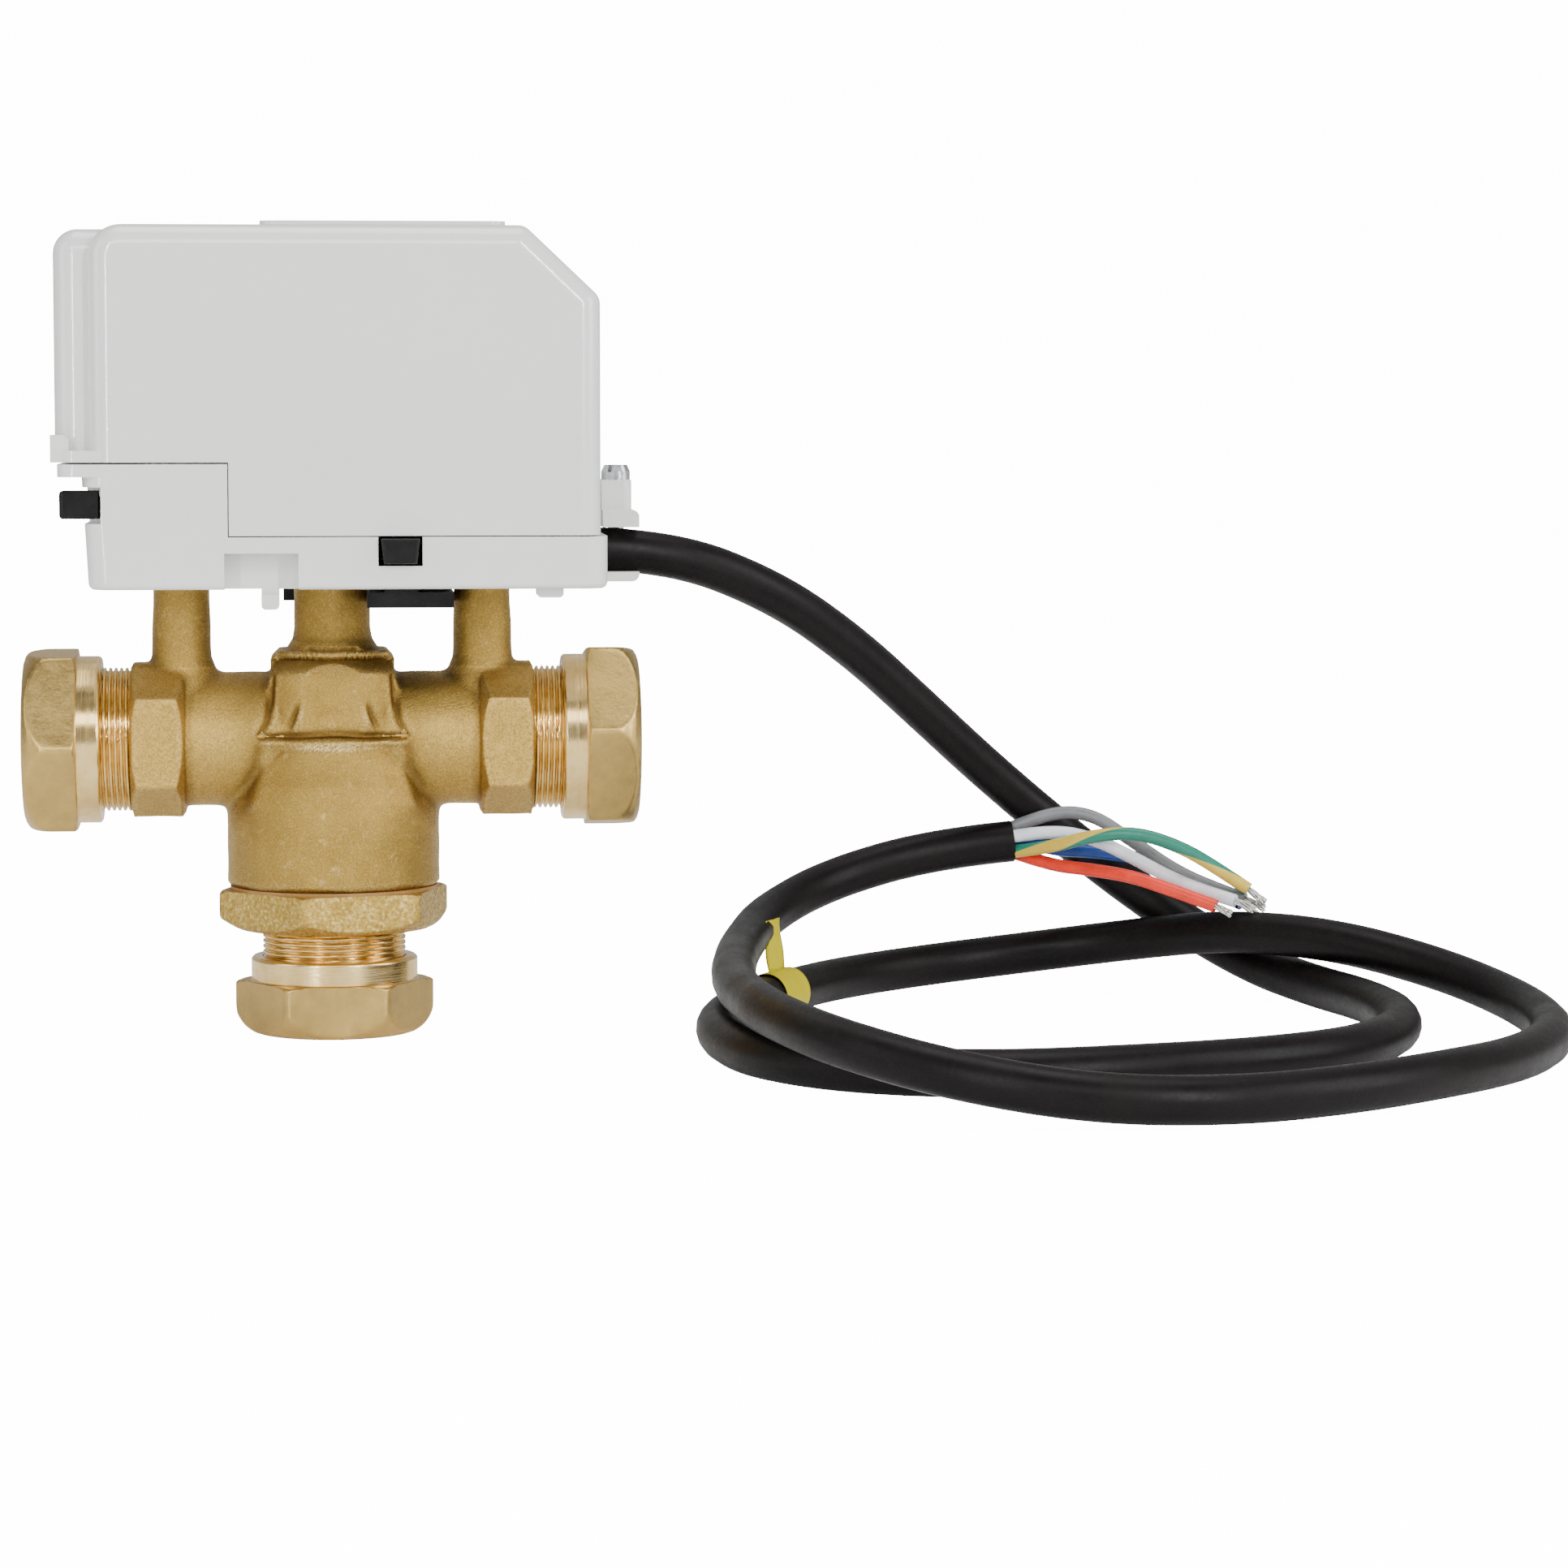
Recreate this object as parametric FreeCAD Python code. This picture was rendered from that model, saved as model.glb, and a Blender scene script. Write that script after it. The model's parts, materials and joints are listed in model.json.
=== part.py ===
import FreeCAD, Part
import os, math

os.makedirs("parts", exist_ok=True)
V = FreeCAD.Vector

# ---------------------------------------------------------------- dimensions, mm
# Frame: origin at the centre of the bottom port's nut end face, +Z up the stem,
# +X towards port B and the cable, -Y is the front of the actuator.
port_z = 54.5          # height of the port A - port B axis
face_x = 56.4          # nut end face of ports A and B from the stem axis
pipe_r = 11.1          # bore for a 22 mm copper pipe
thread_r = 13.2        # crest radius of the compression thread
thread_root = 12.6
thread_pitch = 1.0
nut_af = 32.0
nut_len = 9.8          # hexagon
skirt_len = 14.2       # hexagon and turned ring
skirt_r = 15.35
nut_bore_r = 13.3
hex_af = 28.2          # hexagons on the body
barrel_r = 12.3
bell_r = 19.5
bell_z0, bell_z1, bell_z2 = 27.4, 41.0, 55.5
bell_top_r = 15.0
post_x = 27.6
base_z = 83.0
tower_r = 7.0
collar_af = 38.0
ball_r = 5.0
crank_r = 6.2
spindle_r = 3.0
bore_clear = 0.05
seat_x = 7.3
seat_out = 10.0
orifice_r = 4.5
bore_r = 9.5
gear_module = 0.8
sector_teeth = 55
pinion_teeth = 12
gear_centre = gear_module * (sector_teeth + pinion_teeth) / 2.0
box_y = 28.8           # half depth of the actuator
wall = 2.2
seam_z = 92.6
seam_left_z = 105.7
seam_x = -18.2
cover_top = 148.0
cable_d = 8.2
core_d = 2.6
exit_z = 89.3


# ---------------------------------------------------------------- helpers
def box(x0, x1, y0, y1, z0, z1):
    return Part.makeBox(x1 - x0, y1 - y0, z1 - z0, V(x0, y0, z0))


def cyl(r, p0, p1):
    a = V(*p0)
    d = V(*p1).sub(a)
    return Part.makeCylinder(r, d.Length, a, d)


def rev(points):
    # closed (radius, z) polygon turned about the Z axis
    pts = [V(r, 0, z) for r, z in points]
    w = Part.makePolygon(pts + [pts[0]])
    return Part.Face(w).revolve(V(0, 0, 0), V(0, 0, 1), 360)


def ngon(n, circum_r, z0, z1, turn):
    pts = [V(circum_r * math.cos(math.radians(turn + 360.0 * k / n)),
             circum_r * math.sin(math.radians(turn + 360.0 * k / n)), z0) for k in range(n)]
    return Part.Face(Part.makePolygon(pts + [pts[0]])).extrude(V(0, 0, z1 - z0))


def plate(points, axis, a, b):
    # polygon extruded along an axis from a to b
    if axis == "y":
        pts = [V(p, a, q) for p, q in points]
        d = V(0, b - a, 0)
    elif axis == "x":
        pts = [V(a, p, q) for p, q in points]
        d = V(b - a, 0, 0)
    else:
        pts = [V(p, q, a) for p, q in points]
        d = V(0, 0, b - a)
    return Part.Face(Part.makePolygon(pts + [pts[0]])).extrude(d)


def fuse(shapes):
    s = shapes[0].multiFuse(shapes[1:])
    return s.removeSplitter()


def to_port(shape, name):
    # local +Z runs from the nut's end face into the valve
    s = shape.copy()
    if name == "a":
        s.Placement = FreeCAD.Placement(V(-face_x, 0, port_z), FreeCAD.Rotation(V(0, 0, 1), V(1, 0, 0)))
    elif name == "b":
        s.Placement = FreeCAD.Placement(V(face_x, 0, port_z), FreeCAD.Rotation(V(0, 0, 1), V(-1, 0, 0)))
    return s


def thread(s0, s1, crest, root, core):
    # ring ridges of one pitch each on a hollow core
    pts = [(core, s0), (root, s0)]
    n = int((s1 - s0) / thread_pitch)
    p = (s1 - s0) / n
    for k in range(n):
        a = s0 + k * p
        pts += [(crest, a + 0.38 * p), (crest, a + 0.62 * p), (root, a + p)]
    pts += [(core, s1)]
    return rev(pts)


def fillet_edges(shape, r, test):
    es = [e for e in shape.Edges if test(e)]
    return shape.makeFillet(r, es)


def save(shape, name):
    sol = shape.Solids
    ok = all(s.isValid() for s in sol)
    out = shape if len(sol) != 1 else sol[0]
    out.exportStep("parts/%s.step" % name)
    b = shape.BoundBox
    print("%-20s solids %d valid %s vol %.1f  x %.1f %.1f  y %.1f %.1f  z %.1f %.1f" % (
        name, len(sol), ok, shape.Volume, b.XMin, b.XMax, b.YMin, b.YMax, b.ZMin, b.ZMax))


# ---------------------------------------------------------------- compression joints
def nut(turn):
    r_c = nut_af / 2.0 / math.cos(math.radians(30))
    hexa = ngon(6, r_c, 0, nut_len, turn)
    # the outer end is turned to a full round, the inner end has a light chamfer
    form = [(0, 0), (13.6, 0), (15.2, 0.35), (16.6, 1.3), (17.7, 2.8), (18.4, 4.6), (18.6, 6.0),
            (18.6, nut_len - 0.7), (17.2, nut_len), (0, nut_len)]
    body = hexa.common(rev(form))
    ring = rev([(12.0, nut_len - 0.5), (skirt_r, nut_len - 0.5), (skirt_r, skirt_len - 0.5), (skirt_r - 0.5, skirt_len),
                (12.0, skirt_len)])
    s = body.fuse(ring)
    hole = rev([(0, -1), (pipe_r, -1), (pipe_r, 2.6), (nut_bore_r, 5.0),
                (nut_bore_r, skirt_len + 1), (0, skirt_len + 1)])
    return s.cut(hole).removeSplitter()


save(to_port(nut(32.6), "a"), "compression_nut_a")
save(to_port(nut(37.1), "b"), "compression_nut_b")
save(nut(1.9), "compression_nut_ab")

olive = rev([(pipe_r, 3.3), (11.5, 3.3), (12.6, 5.3), (12.6, 6.6), (11.6, 8.8), (pipe_r, 8.8)])
for p in ("a", "b", "ab"):
    save(to_port(olive, p), "olive_" + p)

# ---------------------------------------------------------------- valve body
# bell and bottom cylinder
bell = rev([(0, bell_z0), (bell_r - 0.8, bell_z0), (bell_r, bell_z0 + 0.8), (bell_r, bell_z1), (19.2, 43.5),
            (18.3, 46.5), (16.9, 50.0), (15.6, 53.2), (bell_top_r, bell_z2), (12.5, 57.5), (12.0, 66.0), (0, 66.0)])
# front and back panels of the centre block, flaring towards the ledge
panel = plate([(-15.0, 55.0), (15.0, 55.0), (14.6, 57.5), (12.0, 64.5), (11.3, 66.5), (11.3, 69.5), (9.8, 71.0),
               (-9.8, 71.0), (-11.3, 69.5), (-11.3, 66.5), (-12.0, 64.5), (-14.6, 57.5)], "y", -13.6, 13.6)
panel = panel.common(rev([(0, 54), (14.9, 54), (14.9, 62), (14.6, 67), (12.6, 71.5), (0, 71.5)]))
barrel = cyl(barrel_r, (-37, 0, port_z), (37, 0, port_z))
parts = [bell, panel.Solids[0], barrel]
for sx in (-1, 1):
    r_c = hex_af / 2.0 / math.cos(math.radians(30))
    h = ngon(6, r_c, 0, 9.6, 0)
    h = h.common(rev([(0, 0), (13.4, 0), (16.5, 1.5), (16.5, 8.4), (14.4, 9.6), (0, 9.6)]))
    h.Placement = FreeCAD.Placement(V(sx * 27.0, 0, port_z), FreeCAD.Rotation(V(0, 0, 1), V(sx, 0, 0)))
    h = h.common(box(-60, 60, -20, 20, port_z - hex_af / 2, port_z + hex_af / 2))
    parts.append(h.Solids[0])
    t = thread(face_x - 47.5, face_x - 36.5, thread_r, thread_root, 8.0)
    parts.append(to_port(t, "a" if sx < 0 else "b"))
    # post that carries the actuator
    post = rev([(0, 50), (9.0, 50), (9.0, 63.0), (7.4, 65.6), (6.2, 67.6), (5.5, 69.6), (5.1, base_z), (0, base_z)])
    post = post.common(box(-8.5, 8.5, -9, 9, 49, 90))
    post.translate(V(sx * post_x, 0, 0))
    parts.append(post.Solids[0])
tower = rev([(0, 60), (11.0, 60), (11.0, 69.0), (8.6, 71.2), (7.4, 73.0), (tower_r, 75.0), (tower_r, base_z), (0, base_z)])
parts.append(tower)
body = parts[0]
for p in parts[1:]:
    body = body.fuse(p)
# passages: port sockets, pipe stops, seats, ball chamber, bottom socket, bush bore
cuts = []
for sx in (-1, 1):
    cuts.append(cyl(bore_r, (sx * seat_out, 0, port_z), (sx * 34, 0, port_z)))
    cuts.append(cyl(pipe_r, (sx * 33, 0, port_z), (sx * 48, 0, port_z)))
    m = rev([(0, 46.2), (pipe_r, 46.2), (12.3, 47.6), (0, 47.6)])
    m.Placement = FreeCAD.Placement(V(0, 0, port_z), FreeCAD.Rotation(V(0, 0, 1), V(sx, 0, 0)))
    cuts.append(m)
    cuts.append(cyl(orifice_r, (sx * (seat_x - 1), -crank_r * math.sin(math.radians(45)), port_z),
                    (sx * (seat_out + 1), -crank_r * math.sin(math.radians(45)), port_z)))
cuts.append(cyl(11.6, (0, 0, 42), (0, 0, 64)).common(box(-seat_x, seat_x, -20, 20, 40, 66)))
cuts.append(rev([(0, 34), (14.5, 34), (14.5, 40.5), (11.6, 43.4), (0, 43.4)]))
cuts.append(cyl(17.5, (0, 0, 26), (0, 0, 36)))
cuts.append(cyl(4.2, (0, 0, 63), (0, 0, base_z + 1)))
cuts.append(cyl(1.9, (-post_x, 0, 70), (-post_x, 0, base_z + 1)))
cuts.append(cyl(1.9, (post_x, 0, 70), (post_x, 0, base_z + 1)))
for c in cuts:
    body = body.cut(c)
save(body, "valve_body")

# ---------------------------------------------------------------- bottom port insert
collar_rc = collar_af / 2.0 / math.cos(math.radians(30))
collar = ngon(6, collar_rc, 19.5, 26.8, 15.3)
collar = collar.common(rev([(0, 19.4), (17.7, 19.4), (22.1, 21.9), (22.1, 26.3), (21.0, 26.9), (0, 26.9)]))
insert = fuse([collar, cyl(17.5, (0, 0, 26), (0, 0, 36)), thread(9.1, 19.6, thread_r, thread_root, 8.0)])
insert = insert.cut(cyl(pipe_r, (0, 0, 8), (0, 0, 22)))
insert = insert.cut(cyl(bore_r, (0, 0, 20), (0, 0, 37)))
insert = insert.cut(rev([(0, 31.5), (bore_r, 31.5), (14.0, 36.1), (0, 36.1)]))
insert = insert.cut(rev([(0, 9.0), (12.3, 9.0), (pipe_r, 10.4), (0, 10.4)]))
save(insert, "port_insert")
save(rev([(17.5, 26.8), (19.1, 26.8), (19.1, 27.4), (17.5, 27.4)]), "insert_seal")

# ---------------------------------------------------------------- stem and closing ball
bush = rev([(spindle_r + bore_clear, 64.4), (4.2, 64.4), (4.2, 82.6), (spindle_r + bore_clear, 82.6)])
save(bush, "stem_bush")
shaft = cyl(spindle_r, (0, 0, 59.4), (0, 0, 97.5))
for z in (68.0, 72.0):
    shaft = shaft.cut(rev([(2.2, z - 0.8), (4, z - 0.8), (4, z + 0.8), (2.2, z + 0.8)]))
# two flats drive the hub
shaft = shaft.cut(box(-4, 4, 2.4, 4, 86, 98)).cut(box(-4, 4, -4, -2.4, 86, 98))
save(shaft, "valve_spindle")
rings = [Part.makeTorus(2.55, 0.42, V(0, 0, z)) for z in (68.0, 72.0)]
save(Part.makeCompound(rings), "stem_o_rings")

ang = math.radians(225)
bx, by = crank_r * math.cos(ang), crank_r * math.sin(ang)
arm_bar = box(0, crank_r, -2.0, 2.0, 59.4, 61.5)
arm_bar.rotate(V(0, 0, 0), V(0, 0, 1), 225)
arm = fuse([cyl(4.0, (0, 0, 59.4), (0, 0, 63.4)), arm_bar, cyl(2.2, (bx, by, 59.4), (bx, by, 61.5)),
            cyl(1.4, (bx, by, 52.5), (bx, by, 60.0))])
arm = arm.cut(cyl(spindle_r, (0, 0, 59.0), (0, 0, 64)))
save(arm, "crank_arm")
ball = Part.makeSphere(ball_r, V(bx, by, port_z)).cut(cyl(1.4, (bx, by, 52.5), (bx, by, 61)))
save(ball, "closing_ball")

# ---------------------------------------------------------------- actuator base
base = fuse([box(-30.0, 49.5, -box_y, box_y, base_z, 92.4)])
base = fillet_edges(base, 4.0, lambda e: abs(e.BoundBox.ZLength - 9.4) < 0.01 and e.BoundBox.XMin > 40)
base = fillet_edges(base, 1.2, lambda e: e.BoundBox.ZMax < base_z + 0.01 and e.BoundBox.XMax > -29)
left = plate([(-43.2, base_z), (-44.3, 103.1), (seam_x - 0.2, 103.1), (seam_x - 0.2, base_z)], "y", -box_y, box_y)
left = fillet_edges(left, 4.0, lambda e: e.BoundBox.ZLength > 15 and e.BoundBox.XMax < -40)
left = fillet_edges(left, 1.2, lambda e: e.BoundBox.ZMax < base_z + 0.01 and e.BoundBox.XMin < -30 and e.BoundBox.XMax < -17)
flange = box(-48.6, seam_x - 0.2, -box_y, box_y, 103.1, 105.4)
flange = fillet_edges(flange, 3.5, lambda e: e.BoundBox.ZLength > 2 and e.BoundBox.XMax < -40)
recess_block = box(-20.5, -4.5, -box_y + 0.2, -21.0, 85.0, 91.3)
pegs = [fillet_edges(b, 0.8, lambda e: e.BoundBox.ZMax < 82 and e.BoundBox.YLength > 3)
        for b in (box(-12.6, -9.4, -25.0, -21.0, 79.3, 83.5), box(36.8, 41.6, -25.0, -19.0, 81.3, 83.5))]
saddle = box(48.5, 56.5, -5.5, 11.5, 83.4, exit_z - cable_d / 2)
saddle = fillet_edges(saddle, 1.4, lambda e: e.BoundBox.XMin > 56 and e.BoundBox.YLength > 10 and e.BoundBox.ZMax < 84)
base = fuse([base, left, flange])
base = base.cut(box(-43.4 + wall, 49.5 - wall, -box_y + wall, box_y - wall, base_z + 2.5, 93))
base = base.cut(box(-43.4 + wall, 0, -box_y + wall, box_y - wall, base_z + 2.5, 106))
base = fuse([base, recess_block, saddle] + pegs)
base = base.cut(box(-19.1, -5.9, -box_y - 1, -23.0, base_z - 1, 89.5))
base = base.cut(cyl(4.6, (0, 0, 82), (0, 0, 86)))
for sx in (-1, 1):
    base = base.cut(cyl(2.1, (sx * post_x, 0, 82), (sx * post_x, 0, 86)))
# latch slot in the floor and its notch in the front wall
base = base.cut(box(9.0, 15.7, -26.8, -19.6, 82, 86))
base = base.cut(box(8.3, 16.2, -box_y - 1, -26.0, 87.2, 93))
# slot that the manual lever travels in, round the front left corner
base = base.cut(box(-50, -40.8, -box_y - 1, -7.0, 94.8, 101.3))
# cable way and the clamp screw's hole
base = base.cut(cyl(cable_d / 2 + 0.1, (46, 0, exit_z), (57.5, 0, exit_z)))
base = base.cut(cyl(1.5, (52.9, 8.0, 83), (52.9, 8.0, 86)))
save(base, "actuator_base")

# ---------------------------------------------------------------- actuator cover
outline = [(-42.9, seam_left_z), (-42.9, cover_top), (34.8, cover_top), (48.3, 135.2), (48.3, seam_z),
           (seam_x, seam_z), (seam_x, seam_left_z)]
cov = plate(outline, "y", -box_y, box_y)
cov = fillet_edges(cov, 6.0, lambda e: e.BoundBox.YLength > 50 and e.BoundBox.XMax < -40 and e.BoundBox.ZMin > 140)
cov = fillet_edges(cov, 3.0, lambda e: e.BoundBox.YLength > 50 and e.BoundBox.XMin > 30 and e.BoundBox.ZMin > 130)


def rim(e):
    b = e.BoundBox
    if b.YLength > 0.01:
        return False
    if b.ZMax < seam_left_z + 0.01:
        return False
    if abs(b.XMin - seam_x) < 0.01 and abs(b.XMax - seam_x) < 0.01:
        return False
    return True


cov = fillet_edges(cov, 4.2, rim)
nose = box(-49.2, -36.0, -24.5, 24.5, seam_left_z, 147.2)
nose = fillet_edges(nose, 4.5, lambda e: e.BoundBox.ZLength > 30 and e.BoundBox.XMax < -40)
nose = fillet_edges(nose, 4.4, lambda e: e.BoundBox.ZMin > 147 and e.BoundBox.XMin < -36.1)
ledge = box(-48.3, -36.0, -28.3, 28.3, seam_left_z, 107.8)
ledge = fillet_edges(ledge, 3.0, lambda e: e.BoundBox.ZLength > 1 and e.BoundBox.XMax < -40)
tab = box(-49.7, -46.4, -27.2, -22.0, seam_left_z, 110.6)
tab = fillet_edges(tab, 1.2, lambda e: e.BoundBox.YLength > 4 and e.BoundBox.ZMin > 110 and e.BoundBox.XMin > -47)
raised = box(-12.5, 31.6, -20.0, 20.0, cover_top - 1.0, cover_top + 0.9)
raised = fillet_edges(raised, 3.0, lambda e: e.BoundBox.ZLength > 1)
inner = plate([(-40.7, 90), (-40.7, 142.0), (-37.0, 145.8), (33.9, 145.8), (46.1, 134.2), (46.1, 90)], "y",
              -box_y + wall, box_y - wall)
inner_nose = box(-47.0, -39.0, -22.3, 22.3, 104.0, 145.0)
cov = fuse([cov, nose, ledge, tab, raised])
cov = cov.cut(inner).cut(inner_nose)
cov = cov.cut(cyl(cable_d / 2 + 0.1, (44, 0, exit_z), (50, 0, exit_z)))
save(cov, "actuator_cover")


# ---------------------------------------------------------------- screws
def pan_screw(x, y, z_seat, head_r, head_h, shank_r, shank_l, slot_turn=0.0):
    # slotted pan head, seat at z_seat, shank downwards
    h = rev([(0, 0), (head_r, 0), (head_r, head_h * 0.55), (head_r * 0.8, head_h), (0, head_h)])
    s = h.fuse(cyl(shank_r, (0, 0, -shank_l), (0, 0, 0.2)))
    slot = box(-head_r - 1, head_r + 1, -0.4, 0.4, head_h * 0.5, head_h + 1)
    slot.rotate(V(0, 0, 0), V(0, 0, 1), slot_turn)
    s = s.cut(slot).removeSplitter()
    s.translate(V(x, y, z_seat))
    return s


mount = [pan_screw(sx * post_x, 0, base_z + 2.5, 3.6, 2.4, 1.9, 12.5, 30) for sx in (-1, 1)]
save(Part.makeCompound(mount), "mounting_screws")

# ---------------------------------------------------------------- motor plate and its pillars
plate_z0, plate_z1 = 104.0, 105.5
pillar_at = [(-26.4, -10.2), (41.0, -22.0), (41.0, 22.0), (-30.0, 20.5)]
pl = box(-34.0, 44.5, -25.0, 25.0, plate_z0, plate_z1)
pl = fillet_edges(pl, 3.0, lambda e: e.BoundBox.ZLength > 1)
pl = pl.cut(cyl(8.2, (0, 0, 103), (0, 0, 107))).cut(cyl(2.6, (gear_centre, 0, 103), (gear_centre, 0, 107)))
for x, y in pillar_at:
    pl = pl.cut(cyl(1.45, (x, y, 103), (x, y, 107)))
pl = pl.cut(cyl(1.45, (-4.0, 19.0, 103), (-4.0, 19.0, 107)))
save(pl, "motor_plate")
pill = []
for x, y in pillar_at:
    p = ngon(6, 2.3, base_z + 2.5, plate_z0, 0)
    p.translate(V(x, y, 0))
    pill.append(p.cut(cyl(1.2, (x, y, 97), (x, y, 105))))
save(Part.makeCompound(pill), "plate_pillars")
save(Part.makeCompound([pan_screw(x, y, plate_z1, 2.6, 1.8, 1.2, 6.0, 40 * i) for i, (x, y) in enumerate(pillar_at)]),
     "pillar_screws")
save(pan_screw(-4.0, 19.0, plate_z1, 2.9, 2.0, 1.45, 3.0, 20), "earth_screw")

# ---------------------------------------------------------------- motor
gbox = box(9.4, 43.0, -15.0, 15.0, plate_z1, 112.0)
gbox = fillet_edges(gbox, 3.0, lambda e: e.BoundBox.ZLength > 1)
gbox = gbox.cut(cyl(1.55, (gear_centre, 0, 105), (gear_centre, 0, 109.0)))
save(gbox, "motor_gearbox")
can = rev([(0, 112.0), (22.0, 112.0), (22.0, 132.8), (20.8, 134.0), (7.0, 134.0), (7.0, 135.2), (0, 135.2)])
can.translate(V(20.5, 0, 0))
save(can, "motor_can")
lugs = []
for y in (-19.5, 19.5):
    lug = box(22.5, 30.5, min(y, y * 0.7), max(y, y * 0.7), plate_z1, 107.0)
    lug = lug.cut(box(0, 60, -15.0, 15.0, 105, 110))
    lugs.append(lug)
save(Part.makeCompound(lugs), "motor_lugs")
save(Part.makeCompound([pan_screw(26.5, y, 107.0, 1.9, 1.5, 1.2, 1.4, 60) for y in (-17.3, 17.3)]), "motor_screws")


# ---------------------------------------------------------------- gears
def tooth_points(z, ra, rf, centre_deg):
    # one involute tooth, thinned for backlash
    m = gear_module
    rp = m * z / 2.0
    al = math.radians(20)
    rb = rp * math.cos(al)
    half = math.pi / (2 * z) * 0.84
    inv = math.tan(al) - al
    pts = []
    n = 5
    start = max(rf, rb)
    for k in range(n + 1):
        r = start + (ra - start) * k / n
        a = math.acos(min(1.0, rb / r))
        t = half + inv - (math.tan(a) - a)
        pts.append((r, t))
    left = [(rf, pts[0][1] + 0.0)] if rf < rb else []
    flank = left + pts
    c = math.radians(centre_deg)
    up = [(r * math.cos(c - t), r * math.sin(c - t)) for r, t in flank]
    dn = [(r * math.cos(c + t), r * math.sin(c + t)) for r, t in reversed(flank)]
    return up + dn


def gear_teeth(z, ra, rf, z0, z1, centres):
    out = []
    for c in centres:
        p = tooth_points(z, ra, rf - 0.25, c)
        out.append(plate(p, "z", z0, z1))
    return out


rp_s = gear_module * sector_teeth / 2.0
rp_p = gear_module * pinion_teeth / 2.0
step = 360.0 / sector_teeth
fan = []
a0, a1 = -103.0, 11.0
n = 38
fan = [(0.0, 0.0)] + [((rp_s - 0.95) * math.cos(math.radians(a0 + (a1 - a0) * k / n)),
                       (rp_s - 0.95) * math.sin(math.radians(a0 + (a1 - a0) * k / n))) for k in range(n + 1)]
sector = fuse([plate(fan, "z", 98.0, 101.2), cyl(10.5, (0, 0, 98.0), (0, 0, 101.2))] +
              gear_teeth(sector_teeth, rp_s + 0.62, rp_s - 0.95, 98.0, 101.2, [k * step for k in range(-15, 2)]))
sector = sector.cut(cyl(6.0, (0, 0, 97), (0, 0, 102)))
# three lightening holes in the fan
for t in (-15, -46, -77):
    x, y = 15.6 * math.cos(math.radians(t)), 15.6 * math.sin(math.radians(t))
    sector = sector.cut(cyl(2.6, (x, y, 97), (x, y, 102)))
save(sector, "sector_gear")

pin_teeth = gear_teeth(pinion_teeth, rp_p + 0.62, rp_p - 0.95, 97.4, 101.8, [15 + 30 * k for k in range(pinion_teeth)])
pinion = fuse([cyl(rp_p - 0.95, (0, 0, 97.4), (0, 0, 101.8)), cyl(1.5, (0, 0, 101), (0, 0, 108.7))] + pin_teeth)
pinion.translate(V(gear_centre, 0, 0))
save(pinion, "motor_pinion")

# ---------------------------------------------------------------- drive hub with cam, clip and return spring
hub = rev([(0, 86.0), (8.0, 86.0), (8.0, 98.0), (6.0, 98.0), (6.0, 101.2), (4.2, 101.2), (4.2, 106.4), (0, 106.4)])
cam = cyl(5.2, (0, 0, 106.4), (0, 0, 110.4)).fuse(
    cyl(7.0, (0, 0, 106.4), (0, 0, 110.4)).common(plate([(0, 0), (-9, 9), (-9, -3)], "z", 106, 111)))
hub = fuse([hub, cam])
hub = hub.cut(cyl(spindle_r, (0, 0, 85), (0, 0, 97.5)).cut(box(-4, 4, 2.4, 4, 84, 98)).cut(box(-4, 4, -4, -2.4, 84, 98)))
hub = hub.cut(box(-5, 5, -0.5, 0.5, 109.2, 111))
save(hub, "drive_hub")
clip = rev([(4.2, 101.2), (7.4, 101.2), (7.4, 102.0), (4.2, 102.0)]).cut(box(0, 9, -2.2, 2.2, 101, 103))
save(clip, "retaining_clip")

# ---------------------------------------------------------------- manual lever
pvx, pvy = -22.0, -19.0
lever = plate([(-22.8, -17.1), (-42.0, -22.8), (-42.0, -26.2), (-22.0, -21.2)], "z", 95.7, 99.6)
tip = box(-48.2, -41.3, -28.0, -22.6, 95.7, 100.7)
tip = fillet_edges(tip, 0.7, lambda e: e.BoundBox.XMax < -48)
lever = fuse([lever, tip, cyl(3.4, (pvx, pvy, 95.7), (pvx, pvy, 99.6))])
lever = lever.cut(cyl(1.55, (pvx, pvy, 95), (pvx, pvy, 101)))
save(lever, "manual_lever")
save(rev([(0, base_z + 2.5), (2.7, base_z + 2.5), (2.7, 95.3), (1.5, 95.3), (1.5, 100.0), (0, 100.0)]).translated(V(pvx, pvy, 0)),
     "lever_pivot")

# ---------------------------------------------------------------- release latch
latch = fuse([box(-9.0, 21.8, -26.4, 13.0, 79.6, 82.4), box(9.4, 15.3, -26.4, -23.0, 79.6, 92.0)])
knob = plate([(9.3, 87.6), (15.2, 87.6), (15.7, 92.1), (8.8, 92.1)], "y", -30.6, -24.0)
knob = fillet_edges(knob, 0.5, lambda e: e.BoundBox.YMax < -30)
latch = latch.fuse(knob)
latch = latch.cut(box(-9.5, 6.3, -27.0, -11.4, 79, 83)).cut(box(-9.5, 7.6, -11.5, 7.6, 79, 83)).removeSplitter()
latch = latch.cut(box(12.2, 16.8, -22.0, 4.0, 78.0, 80.1)).removeSplitter()
save(latch, "release_latch")

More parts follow.
